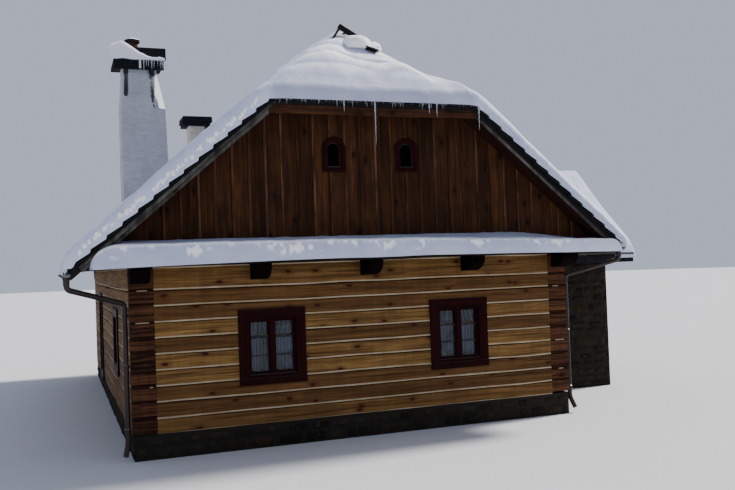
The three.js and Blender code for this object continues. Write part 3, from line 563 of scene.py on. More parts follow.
def rubble_stone(settings):
    """Field stones: each stone has its own tone between three rock colours, with lichen and a broken face."""
    t = Tree.of("Rubble stone")
    place, weather = t.place(), t.weather(4.0)
    base = t.mix(t.tone(0.0, 0.6), settings.dark_color, settings.light_color)
    base = t.mix(t.tone(0.7, 0.95, 0.0, 0.8), base, settings.warm_color)
    base = t.mix(t.times(weather["Blotches"], 0.6), base, times(settings.dark_color, 0.4))
    base = t.mix(t.span(t.noise(place, 9.0, 4.0), 0.6, 0.68, 0.0, 0.3), base, (0.07, 0.07, 0.045))
    broken = t.plus(t.noise(place, 14.0, 6.0, 0.65), t.times(weather["Specks"], 0.3))
    return t.looks(base, t.span(weather["Specks"], 0.2, 0.8, 0.75, 0.98), t.bump(broken, 1.0, 0.02),
                   Specular_IOR_Level=0.06)


def snow_material(settings):
    """Packed snow: bluish in its hollows as painted shade, whiter as painted light where the tone marks clods and
    sunlit steps, darker as painted shade where the tone is below zero, with crystals as specks of painted glint.
    """
    t = Tree.of("Snow")
    place = t.place()
    hollows, grains = t.noise(place, 2.3, 4.0, 0.5), t.noise(place, 90.0, 3.0, 0.7)
    # Painted shade: bluish in the bump's hollows.
    base = t.mix(t.span(hollows, 0.35, 0.65, 0.0, 0.8), settings.color, settings.shade_color)
    # Painted light: a tone above zero whitens clods, rims and sunlit steps.
    base = t.mix(t.tone(0.0, 1.0), base, (1.0, 1.0, 1.0))
    # Painted shade: a tone below zero darkens towards deep blue.
    base = t.mix(t.tone(0.0, -1.0), base, (0.13, 0.15, 0.24))
    # Painted glints: the crystals as near-white specks.
    base = t.mix(t.span(grains, 0.6, 0.75, 0.0, 0.2), base, (0.96, 0.98, 1.0))
    height = t.plus(hollows, t.times(t.span(t.cells(place, 9.0), 0.05, 0.6), 0.08))
    return t.looks(base, t.span(grains, 0.3, 0.7, 0.5, 0.75),
                   t.bump(height, 0.45, 0.06, Normal=t.bump(grains, 0.25, 0.008)), Subsurface_Weight=0.10,
                   Subsurface_Scale=0.02, Subsurface_Radius=(0.6, 0.9, 1.2), Specular_IOR_Level=0.25)


def ice_material():
    """Clear ice with clouded rings and a rippled face."""
    t = Tree.of("Ice")
    cloud = t.noise(t.scaled(t.place(), 20.0, 20.0, 60.0), 1.0, 3.0)
    base = t.mix(t.span(cloud, 0.3, 0.7), (0.80, 0.88, 0.95), (0.95, 0.98, 1.0))
    return t.looks(base, t.span(cloud, 0.3, 0.7, 0.08, 0.3), t.bump(cloud, 0.5, 0.004), Transmission_Weight=0.75,
                   IOR=1.31)


def glass_material(name, clearness, ior):
    """Old drawn glass: faint waves in the pane, a trace of dust, clear enough to show what hangs behind it."""
    t = Tree.of(name)
    place = t.place()
    dust = t.noise(place, 30.0, 4.0)
    base = t.mix(t.span(dust, 0.4, 0.7, 0.0, 0.5), times((0.66, 0.72, 0.80), clearness),
                 times((0.48, 0.52, 0.57), clearness))
    waves = t.noise(t.scaled(place, 3.0, 3.0, 1.2), 1.0, 2.0)
    return t.looks(base, t.span(dust, 0.3, 0.8, 0.0, 0.08), t.bump(waves, 0.25, 0.004), Transmission_Weight=1.0,
                   IOR=ior)


def curtain_material():
    """Net curtain: a fine weave in the bump, lace spots, and the shade that its tone brings from the head down."""
    t = Tree.of("Net curtain")
    place = t.place()
    weave = t.node("TexWave", {"Vector": place, "Scale": 90.0, "Distortion": 1.0}, bands_direction="Z").outputs[1]
    lace = t.span(t.cells(t.scaled(place, 1.0, 1.0, 0.5), 16.0), 0.1, 0.5)
    # Dark, bluish colours: painted shade behind the glass with a painted reflection of the sky.
    base = t.mix(t.times(lace, 0.5), (0.12, 0.14, 0.22), (0.23, 0.265, 0.37))
    base = t.mix(t.tone(0.0, 1.0), base, (0.008, 0.009, 0.013))
    return t.looks(base, t.span(lace, 0.0, 1.0, 0.75, 0.95), t.bump(t.plus(weave, lace), 0.5, 0.002),
                   Sheen_Weight=0.1, Specular_IOR_Level=0.15)


def shingle_material(settings):
    """Tarred shingles above and dark boards below: split grain on top, planks across on the underside."""
    t = Tree.of("Roof shingle")
    place, weather = t.place(), t.weather(3.0)
    figure = t.group("Wood figure", Vector=place, Fineness=4.0, Knots=0.0)
    tarred = t.mix(weather["Blotches"], settings.shingle_color, settings.shingle_worn)
    across = t.math("DIVIDE", t.node("SeparateXYZ", {0: place}).outputs["Y"], 0.19)
    seam = t.span(t.math("ABSOLUTE", t.less(t.math("FRACT", across), 0.5)), 0.46, 0.49)
    planks = t.mix(figure["Streaks"], settings.soffit_color, times(settings.soffit_color, 0.45))
    planks = t.mix(seam, planks, (0.004, 0.003, 0.003))
    below = t.span(t.upward(), -0.25, -0.45)
    height = t.less(figure["Height"], t.times(t.times(seam, below), 2.0))
    return t.looks(t.mix(below, tarred, planks), t.span(weather["Specks"], 0.2, 0.8, 0.7, 0.95),
                   t.bump(height, 0.9, 0.006), Specular_IOR_Level=0.08)


def dress(material, *nodes):
    """Gives CAD nodes that stay a better material in their own slots."""
    for name in nodes:
        for slot in frame["nodes"][name].material_slots:
            slot.material = material


# Settings


def color(name, description, *value):
    return bpy.props.FloatVectorProperty(name=name, description=description, subtype="COLOR", default=value)


def length(name, description, value):
    return bpy.props.FloatProperty(name=name, description=description, unit="LENGTH", default=value)


def angle(name, description, degrees):
    return bpy.props.FloatProperty(name=name, description=description, subtype="ANGLE", default=math.radians(degrees))


def amount(name, description, value):
    kind = bpy.props.IntProperty if isinstance(value, int) else bpy.props.FloatProperty
    return kind(name=name, description=description, default=value)


class ChaletLogs(bpy.types.PropertyGroup):
    light_color: color("Log, light", "Honey colour of the hewn logs", 0.325, 0.178, 0.054)
    dark_color: color("Log, dark", "Darker grain of the logs", 0.068, 0.032, 0.011)
    other_color: color("Log, other", "Reddish brown of some of the logs", 0.195, 0.092, 0.029)
    corner_color: color("Log end, light", "Lighter log ends at the corners", 0.150, 0.062, 0.026)
    corner_dark: color("Log end, dark", "Darker log ends at the corners", 0.018, 0.006, 0.004)
    chink_color: color("Chinking", "Lime between the logs", 0.50, 0.42, 0.29)
    chink_height: length("Chinking height", "Height of the lime strip between two logs", 0.028)
    # The gap's darkness is partly its depth and partly painted shade on the strip behind it.
    gap_height: length("Gap height", "Height of the dark gap under each lime strip", 0.014)
    beam_width: length("Beam width", "Width of a beam end under the pent roof", 0.26)
    beam_reach: length("Beam reach", "How far a beam end stands out of the wall", 0.46)
    corner_width: length("Corner width", "Length of the log ends at each corner", 0.38)


class ChaletGable(bpy.types.PropertyGroup):
    board_spacing: length("Board spacing", "Width of a gable board with its joint", 0.274)
    batten_width: length("Batten width", "Width of the strips over the joints", 0.042)
    light_color: color("Board, light", "Lighter grain of the gable boards", 0.105, 0.040, 0.012)
    dark_color: color("Board, dark", "Darker grain of the gable boards", 0.018, 0.007, 0.003)
    # The battens' lighter colour is partly sun-bleaching and partly a painted highlight on the raised strips.
    batten_color: color("Batten", "Sun-bleached battens", 0.190, 0.088, 0.048)


class ChaletRoof(bpy.types.PropertyGroup):
    shingle_color: color("Shingle", "Tarred shingles", 0.007, 0.007, 0.008)
    shingle_worn: color("Shingle, worn", "Worn shingles", 0.016, 0.015, 0.015)
    soffit_color: color("Soffit", "Boards under the overhangs", 0.040, 0.013, 0.009)
    verge_color: color("Verge board", "Grey weathered verge boards", 0.135, 0.131, 0.120)
    course: length("Shingle course", "Spacing of the shingle courses along the slope", 0.30)
    cap_shift: length("Ridge end's shift", "How far the boards at the ridge's ends stand to the side", -0.17)
    shingle_width: length("Shingle width", "Usual width of a shingle", 0.14)


class ChaletWindow(bpy.types.PropertyGroup):
    trim_color: color("Trim", "Oxblood paint of the trims", 0.026, 0.0028, 0.0034)
    bar_color: color("Bar", "Paint of the bars and the casements' inner edges", 0.012, 0.008, 0.012)
    stile: length("Stile", "Width of a casement's stiles and rails", 0.046)
    bar: length("Bar width", "Width of a glazing bar", 0.024)
    folds: amount("Curtain folds", "Number of folds across a curtain", 13)


class ChaletStone(bpy.types.PropertyGroup):
    # All four colours are far darker than field stone and lime mortar: painted shade, for walls that stand in shade.
    light_color: color("Stone, light", "Lighter field stones", 0.036, 0.029, 0.021)
    dark_color: color("Stone, dark", "Darker field stones", 0.016, 0.013, 0.010)
    warm_color: color("Stone, warm", "Iron-stained field stones", 0.036, 0.022, 0.013)
    mortar_color: color("Mortar", "Lime mortar between the stones", 0.021, 0.017, 0.013)
    stone_length: length("Stone length", "Usual length of a field stone", 0.34)
    stone_height: length("Stone height", "Usual height of a field stone", 0.19)


class ChaletChimney(bpy.types.PropertyGroup):
    plaster_color: color("Plaster", "Lime plaster of the large chimney", 0.475, 0.495, 0.540)
    beige_color: color("Beige plaster", "Plaster of the small chimney", 0.75, 0.69, 0.57)
    soot_color: color("Soot", "Streaks below the cap", 0.030, 0.036, 0.038)
    metal_color: color("Sheet metal", "Black sheet metal of the caps", 0.010, 0.011, 0.014)
    shoulder: length("Shoulder", "Height above the ground from which the large chimney narrows", 6.70)
    clay_color: color("Pot", "Fired clay of the pot", 0.045, 0.018, 0.012)


class ChaletSnow(bpy.types.PropertyGroup):
    # Both colours are bluish grey, well below white snow: painted shade under a blue sky, deeper in the hollows.
    color: color("Snow", "Fresh snow", 0.63, 0.67, 0.81)
    shade_color: color("Snow in shade", "Bluish snow in hollows", 0.50, 0.55, 0.74)
    depth: length("Depth", "Depth of the snow on the roofs, straight up", 0.31)
    pent_depth: length("Pent depth", "Height of the snow's face on the pent roofs", 0.298)
    terrace: length("Terrace", "Spacing of the terraces in the snow, down the slope", 0.44)
    step: length("Grid step", "Spacing of the snow's grid", 0.064)
    icicles: amount("Icicles", "Number of icicles under the hip's eave", 80)


class ChaletRainwater(bpy.types.PropertyGroup):
    metal_color: color("Pipe metal", "Dark brown gutters and pipes", 0.030, 0.022, 0.020)
    pipe_radius: length("Pipe radius", "Outer radius of the rain pipes", 0.042)


class ChaletStage(bpy.types.PropertyGroup):
    floor_color: color("Floor", "Plain pale floor", 0.62, 0.63, 0.65)
    sky_color: color("Surroundings", "Soft light from all round", 0.66, 0.72, 0.90)
    sky_strength: amount("Surroundings' strength", "Strength of the light from all round", 0.74)
    key_strength: amount("Key strength", "Strength of the main light", 6.0)
    key_azimuth: angle("Key azimuth", "Where the main light stands, turned from the front to the right", 99.0)
    key_elevation: angle("Key elevation", "Height of the main light above the horizon", 46.0)
    camera_yaw: angle("Camera yaw", "Turn of the view to the right of the front's normal", 20.431)
    camera_pitch: angle("Camera pitch", "Rise of the view above the horizon", 1.243)
    camera_roll: angle("Camera roll", "Lean of the view", -2.105)
    camera_place: bpy.props.FloatVectorProperty(
        name="Camera place", description="Where the camera stands in the house's own frame", unit="LENGTH",
        default=(-5.072, -13.672, 2.977))
    lens: amount("Lens", "Focal length for a 36 mm wide sensor, in millimetres", 41.17)


# Pieces


def spans_between(low, high, gaps):
    """Stretches of low..high that are left outside the gaps."""
    spans = [(low, high)]
    for gap_low, gap_high in gaps:
        spans = [part for a, b in spans
                 for part in ((a, min(b, gap_low)), (max(a, gap_high), b)) if part[1] - part[0] > 0.03]
    return spans


def gaps_at(wall, low, high):
    """Where the openings of a wall interrupt a course between two heights."""
    return [(middle - half + TRIM, middle + half - TRIM) for middle, half, foot, head in OPENINGS[wall]
            if min(high, head - TRIM) - max(low, foot + TRIM) > 0.01]


class ChaletLogWalls(bpy.types.Operator):
    """Hewn logs in courses, lime chinking between them, and toned log ends at the corners"""

    bl_idname = "chalet.log_walls"
    bl_label = "Log walls"
    DARK, LIME = 1, 2

    def execute(self, context):
        settings = context.scene.chalet_logs
        logs = wood("Log wood", settings.light_color, settings.dark_color, (0.045, 0.010, 0.004), settings.other_color,
                    fineness=2.4, depth=0.008, rough=0.72, dirt=0.2)
        ends = wood("Log end wood", settings.corner_color, settings.corner_dark, (0.015, 0.005, 0.003), fineness=3.2,
                    depth=0.008, rough=0.8, dirt=0.35)
        lime = masonry("Chinking lime", settings.chink_color, (0.30, 0.21, 0.10), grit=0.003, stain=0.12, scale=2.2,
                       coarse=40.0)
        inner = HALF - settings.corner_width
        reaches = {"front": (-inner, inner), "back": (-inner, inner), "right": (LOG_DEPTH, LENGTH - LOG_DEPTH),
                   "left": (LOG_DEPTH - LENGTH, -LOG_DEPTH)}
        for number, (wall, reach) in enumerate(reaches.items()):
            made, seed = Surface(), 100 * number + 7
            self.courses(made, wall, reach, seed, settings)
            if wall in ("front", "back"):
                self.corner(made, -HALF, -inner, seed + 40, settings)
                self.corner(made, inner, HALF, seed + 60, settings)
            made.place(wall).mesh(f"{wall}_logs", [logs, ends, lime], "log_wood", [f"{wall}_log_wall"])
        return {"FINISHED"}

    def courses(self, made, wall, reach, seed, settings):
        """One log to a course, split at openings; each joint is a pale strip of lime over a gap that a strip of wood
        closes behind, toned dark as painted shade in the gap."""
        middle, tones = LOG_DEPTH / 2, seeded(seed).uniform(0.0, 1.0, COURSES + 1)
        chink, gap = settings.chink_height, settings.gap_height
        for k, (low, high) in enumerate(zip(JOINTS[:-1], JOINTS[1:])):
            low, high = low + 0.01, high - (0.022 if k == COURSES - 1 else chink + gap - 0.01)
            for part, (s0, s1) in enumerate(spans_between(*reach, gaps_at(wall, low, high))):
                made.level(s0, s1, middle, (low + high) / 2, high - low, LOG_DEPTH, seed + 3 * k + part, wave=0.006,
                           edge=0.012, tone=tones[k], step=0.3)
        for k, z in enumerate(JOINTS):
            z = {0: z + 0.02, COURSES: z - 0.012}.get(k, z)
            for part, (s0, s1) in enumerate(spans_between(*reach, gaps_at(wall, z - 0.01, z + 0.01))):
                made.level(s0, s1, middle, z - chink / 2 + 0.01, chink, LOG_DEPTH - 0.006, seed + 60 + 3 * k + part,
                           wave=0.009, edge=0.006, slot=self.LIME, step=0.15)
                if 0 < k < COURSES:
                    # Painted shade: the strip behind the gap is toned dark.
                    made.level(s0, s1, middle, z - 0.015, 0.08, LOG_DEPTH - 0.05, seed + 90 + part, tone=1.4,
                               slot=self.DARK)

    def corner(self, made, s0, s1, seed, settings):
        """Log ends of uneven height, dark and light by turns, with scraps of lime in some joints, and behind each joint
        a strip toned darkest as painted shade.
        """
        rng, middle, joints = seeded(seed), LOG_DEPTH / 2, JOINTS.copy()
        joints[1:-1] += rng.uniform(-0.03, 0.03, COURSES - 1)
        for k, (low, high) in enumerate(zip(joints[:-1], joints[1:])):
            low, high = low + rng.uniform(0.006, 0.040), high - rng.uniform(0.006, 0.040)
            tone = rng.uniform(0.0, 0.4) if k % 2 else rng.uniform(0.3, 1.2)
            z = (low + high) / 2
            made.board((s0, middle + rng.uniform(-0.004, 0.012), z), (s1 - 0.004, middle, z), high - low, LOG_DEPTH,
                       OUT, seed + k, wave=0.006, edge=0.012, tone=tone, slot=self.DARK, step=0.1)
            # Painted shade: a strip toned darkest behind each joint.
            made.level(s0, s1, middle, high + 0.02, 0.15, LOG_DEPTH - 0.06, seed + 30, tone=2.0, slot=self.DARK)
            if rng.random() < 0.4 and k < COURSES - 1:
                a, b = np.sort(rng.uniform(0.2, 0.9, 2)) * (s1 - s0)
                made.level(s0 + a, s0 + b, middle, high + 0.008, settings.chink_height * 0.6, LOG_DEPTH - 0.012,
                           seed + 50 + k, wave=0.004, edge=0.005, slot=self.LIME, step=0.1)


def rubble(made, wall, shift, ends, top, head, depth, seed, settings):
    """Field stones in uneven rows on a wall: each is a pillow over a skewed rectangle, swelling as
    (1 - u to the fourth)(1 - v to the fourth) to the power 0.4, cut to fit under the head line."""
    rng, joint = seeded(seed), 0.009
    u, v = crossed(np.linspace(-1, 1, 7), np.linspace(-1, 1, 6))
    swell = ((1 - u**4) * (1 - v**4)) ** 0.4
    z = 0.0
    while z < top - 0.05:
        height = min(settings.stone_height * rng.uniform(0.65, 1.3), top - z)
        s = ends[0] - rng.uniform(0, 0.1)
        while s < ends[1] - 0.04:
            long = settings.stone_length * rng.uniform(0.5, 1.5)
            s0, s1 = max(s, ends[0]), min(s + long, ends[1])
            z1 = min(z + height, head(s0), head(s1))
            if z1 - z > 0.05 and s1 - s0 > 0.05:
                half_s, half_z = (s1 - s0) / 2 - joint, (z1 - z) / 2 - joint
                skew = rng.uniform(-0.14, 0.14, 2)
                ps = (s0 + s1) / 2 + half_s * u * (1 - 0.10 * v * v) + skew[0] * half_z * v * u
                pz = (z1 + z) / 2 + half_z * v * (1 - 0.12 * u * u) + skew[1] * half_z * u * (1 - abs(v))
                rise = depth * rng.uniform(0.55, 1.0)
                front = columns(ps, 0.02 - (0.02 + rise) * swell, pz)
                front[..., 1] += 0.012 * swell * noise(front, 7.0, seed + 1)
                made.pillow(*(on_wall(face, wall) + shift for face in (front, columns(ps, 0.03, pz))),
                            tone=rng.random())
            s += long
        z += height


class ChaletStonework(bpy.types.Operator):
    """Field stones in lime mortar on the plinth and on the wing's walls"""

    bl_idname = "chalet.stonework"
    bl_label = "Stonework"

    def execute(self, context):
        settings = context.scene.chalet_stone
        mortar = masonry("Lime mortar", settings.mortar_color, times(settings.mortar_color, 0.6), grit=0.008,
                         stain=0.35)
        dress(mortar, "stone_plinth", "wing_walls")
        stone = rubble_stone(settings)
        setback = corners("stone_plinth")[0][1]
        half, far, top = HALF - setback, LENGTH - setback, PLINTH_TOP - 0.005
        stretches = {"front": [(-half, half)], "back": [(-half, half)],
                     "right": [(setback, WING_FRONT - 0.01), (WING_BACK + 0.01, far)], "left": [(-far, -setback)]}
        plinth = Surface()
        for number, (wall, along) in enumerate(stretches.items()):
            shift = WALLS[wall][1][1] * setback
            for ends in along:
                rubble(plinth, wall, shift, ends, top, lambda s: top, 0.028, 300 + number, settings)
        plinth.mesh("plinth_stones", [stone], "stone", sharp=60.0)
        self.wing(stone, settings)
        return {"FINISHED"}

    def wing(self, stone, settings):
        """The wing's two long walls up to the eaves, and its end wall up to the slopes of the roof."""
        made, thickness, joint = Surface(), 0.2, 0.01
        eave, ridge = wing_top(WING_FRONT) - thickness, WING_RIDGE - thickness
        for number, (wall, shift, ends, top, head) in enumerate((
                ("front", (0.0, WING_FRONT, 0.0), (HALF + 0.01, WING_END), eave, lambda s: eave - joint),
                ("back", (0.0, WING_BACK - LENGTH, 0.0), (-WING_END, -HALF - 0.01), eave, lambda s: eave - joint),
                ("right", (WING_END - HALF, 0.0, 0.0), (WING_FRONT, WING_BACK), ridge,
                 lambda s: wing_top(s) - thickness - joint))):
            rubble(made, wall, shift, ends, top, head, 0.03, 400 + number, settings)
        made.mesh("wing_stones", [stone], "stone", sharp=60.0)


class ChaletFloors(bpy.types.Operator):
    """Plain sawn boards of the ground floor and the attic floor"""

    bl_idname = "chalet.floors"
    bl_label = "Floors"

    def execute(self, context):
        turn = (0.0, 0.0, math.radians(90.0))
        dress(wood("Floor boards", (0.26, 0.15, 0.07), (0.10, 0.05, 0.022), (0.03, 0.014, 0.008), turn=turn),
              "ground_floor")
        dress(wood("Attic boards", (0.05, 0.022, 0.012), (0.016, 0.008, 0.005), (0.01, 0.005, 0.004), turn=turn),
              "attic_floor")
        return {"FINISHED"}


def carved_beam(made, x0, x1, top, foot, reach, seed):
    """A beam end: its side outline has an upright end, a quarter ellipse back to a short level foot, and is carried
    across its width with both arrises rounded."""
    turn = np.linspace(0.0, np.pi / 2, 10)
    level, nose, edge = 0.09, 0.84 * (top - foot), 0.008
    outline = join([
        columns(-level - (reach - level) * np.cos(turn), foot + nose * (1 - np.sin(turn))),
        columns(np.linspace(-0.05, -0.001, 4), foot), columns(np.linspace(-0.001, -reach, 12), top),
        columns(-reach, np.linspace(top, foot + nose, 6)[1:-1])])
    inset = np.array([0.0, 0.3, 1.0]) * edge
    places = join([x0 + inset, [(x0 + x1) / 2], x1 - inset[::-1]])
    shrink = join([inset[::-1], [0.0], inset])[:, None, None]
    section = outline - unit_vector(outline - outline.mean(axis=0)) * shrink
    rings = columns(places[:, None], section[..., 0], section[..., 1])
    made.tube(rings, rings[..., [1, 0, 2]] + seeded(seed).uniform(0, 40, 3))


class ChaletBeamEnds(bpy.types.Operator):
    """Dark carved beam ends under the pent roofs"""

    bl_idname = "chalet.beam_ends"
    bl_label = "Beam ends"

    def execute(self, context):
        settings = context.scene.chalet_logs
        beams = [f"front_console_{k}" for k in range(1, 6)]
        dark = wood("Dark beam wood", (0.007, 0.004, 0.003), (0.003, 0.002, 0.002), (0.002, 0.001, 0.001),
                    fineness=4.0, rough=0.9, gloss=0.03)
        for end, replaced in (("front", beams), ("back", ["back_consoles"])):
            made = Surface()
            for number, node in enumerate(beams):
                low, high = corners(node)
                middle, half = (low[0] + high[0]) / 2, max(settings.beam_width, high[0] - low[0]) / 2
                carved_beam(made, middle - half, middle + half, high[2] - 0.004, low[2], settings.beam_reach,
                            500 + number)
            if end == "back":
                made.level(-HALF, HALF, -0.02, WALL_TOP - 0.03, 0.05, 0.03, 520)
            made.at_end(end).mesh(f"{end}_beam_ends", [dark], "dark_wood", replaced)
        return {"FINISHED"}


def gable_head(x):
    """Underside of the roof over the gable's face, as a height over X."""
    return np.minimum(main_top(x), hip_top(GABLE_FACE)) - ROOF_THICKNESS - 0.005


def attic_openings():
    """Middle, half width, foot and crown of each attic window's trim."""
    return [opening_on("front", f"attic_window_{side}_frame") for side in ("left", "right")]


def arch_over(x, middle, springing, radius):
    """Height of a round arch over X."""
    return springing + np.sqrt(np.maximum(radius**2 - (x - middle) ** 2, 0.0))


def panel(made, x0, x1, low, high, front, back, seed, tone):
    """An upright board between two heights or lines over X: its face dips at the edges and waves with noise."""
    edge, bulge = 0.004, 0.0025
    grid_x, t = crossed(join([[x0], np.linspace(x0 + edge, x1 - edge, 5), [x1]]), np.linspace(0.0, 1.0, 14))
    low, high = (line(grid_x) if callable(line) else line for line in (low, high))
    face = columns(grid_x, front, low + (high - low) * t)
    across = (grid_x - (x0 + x1) / 2) / (x1 - x0)
    face[..., 1] += bulge * (4 * across**2 - 1) + 0.002 * noise(face, 1.7, seed)
    face[[0, -1], :, 1] += edge * 0.8
    padded = np.pad(face, ((1, 1), (1, 1), (0, 0)), mode="edge")
    padded[[0, -1], :, 1] = padded[:, [0, -1], 1] = back
    made.pillow(padded, columns(padded[..., 0], back, padded[..., 2]),
                padded[..., [2, 0, 1]] + seeded(seed).uniform(0, 40, 3), tone)


class ChaletGables(bpy.types.Operator):
    """Upright gable boards with battens over their joints, cut round the attic windows"""

    bl_idname = "chalet.gables"
    bl_label = "Gables"

    def execute(self, context):
        settings = context.scene.chalet_gable
        light, dark = settings.light_color, settings.dark_color
        materials = [
            wood("Gable board wood", light, dark, (0.008, 0.003, 0.002), times(light, 0.6, 0.55, 0.5), fineness=2.8,
                 depth=0.005, dirt=0.5, patches=0.7),
            wood("Batten wood", settings.batten_color, dark, (0.012, 0.005, 0.003), light, fineness=4.0, dirt=0.4,
                 knots=0.4, patches=0.8)]
        dress(wood("Gable frame wood", (0.03, 0.013, 0.008), (0.012, 0.006, 0.004), (0.006, 0.003, 0.002),
                   turn=(0.0, math.radians(90.0), 0.0)), "front_gable", "back_gable")
        for end, windows, seed in (("front", attic_openings(), 600), ("back", [], 700)):
            made = Surface()
            self.boards(made, settings, windows, seed)
            made.at_end(end).mesh(f"{end}_gable_boards", materials, "gable_wood")
        return {"FINISHED"}

    def boards(self, made, settings, windows, seed):
        """Boards from joint to joint over the whole gable; where a window stands, a board is split round its trim."""
        rng, known_joint = seeded(seed), -2.652
        joints = known_joint + settings.board_spacing * np.arange(-8, 32)
        joints = joints[(joints > -GABLE_EDGE) & (joints < GABLE_EDGE)]
        cuts = np.unique(join([joints, [-GABLE_EDGE, GABLE_EDGE]]))
        for number, (a, b) in enumerate(zip(cuts[:-1], cuts[1:])):
            tone = rng.uniform(0.1, 0.85)
            for part in self.split_board(a + 0.003, b - 0.003, windows):
                panel(made, *part, GABLE_FACE - 0.014, GABLE_FACE + 0.02, seed + number, tone)
        for number, x in enumerate(joints):
            self.batten(made, x + rng.uniform(-0.006, 0.006), settings.batten_width, windows, seed + 80 + number)

    def split_board(self, a, b, windows):
        """A board's ends and its foot and head, or those of its parts beside, below and above a window's trim."""
        foot, lap = GABLE_FOOT + 0.01, 0.02
        for middle, half, sill, crown in windows:
            left, right = middle - half + lap, middle + half - lap
            if a < right and b > left:
                beside = [(a, left, foot, gable_head)] * (a < left) + [(right, b, foot, gable_head)] * (b > right)
                a, b = max(a, left), min(b, right)
                return [*beside, (a, b, foot, sill + lap),
                        (a, b, lambda x: arch_over(x, middle, crown - half, half - lap), gable_head)]
        return [(a, b, foot, gable_head)]

    def batten(self, made, x, width, windows, seed):
        """A strip over a joint, in two parts where a window's trim interrupts it."""
        foot, head, lap = GABLE_FOOT + 0.01, gable_head(x + math.copysign(width / 2, x)), 0.004
        if head < GABLE_FOOT + 0.1:
            return
        stretches = [(foot, head)]
        for middle, half, sill, crown in windows:
            if abs(x - middle) < half:
                stretches = [(foot, sill + lap), (arch_over(x, middle, crown - half, half) - lap, head)]
        for low, high in stretches:
            made.upright(x, GABLE_FACE - 0.021, low, high, width, 0.02, seed, wave=0.003, slot=1)


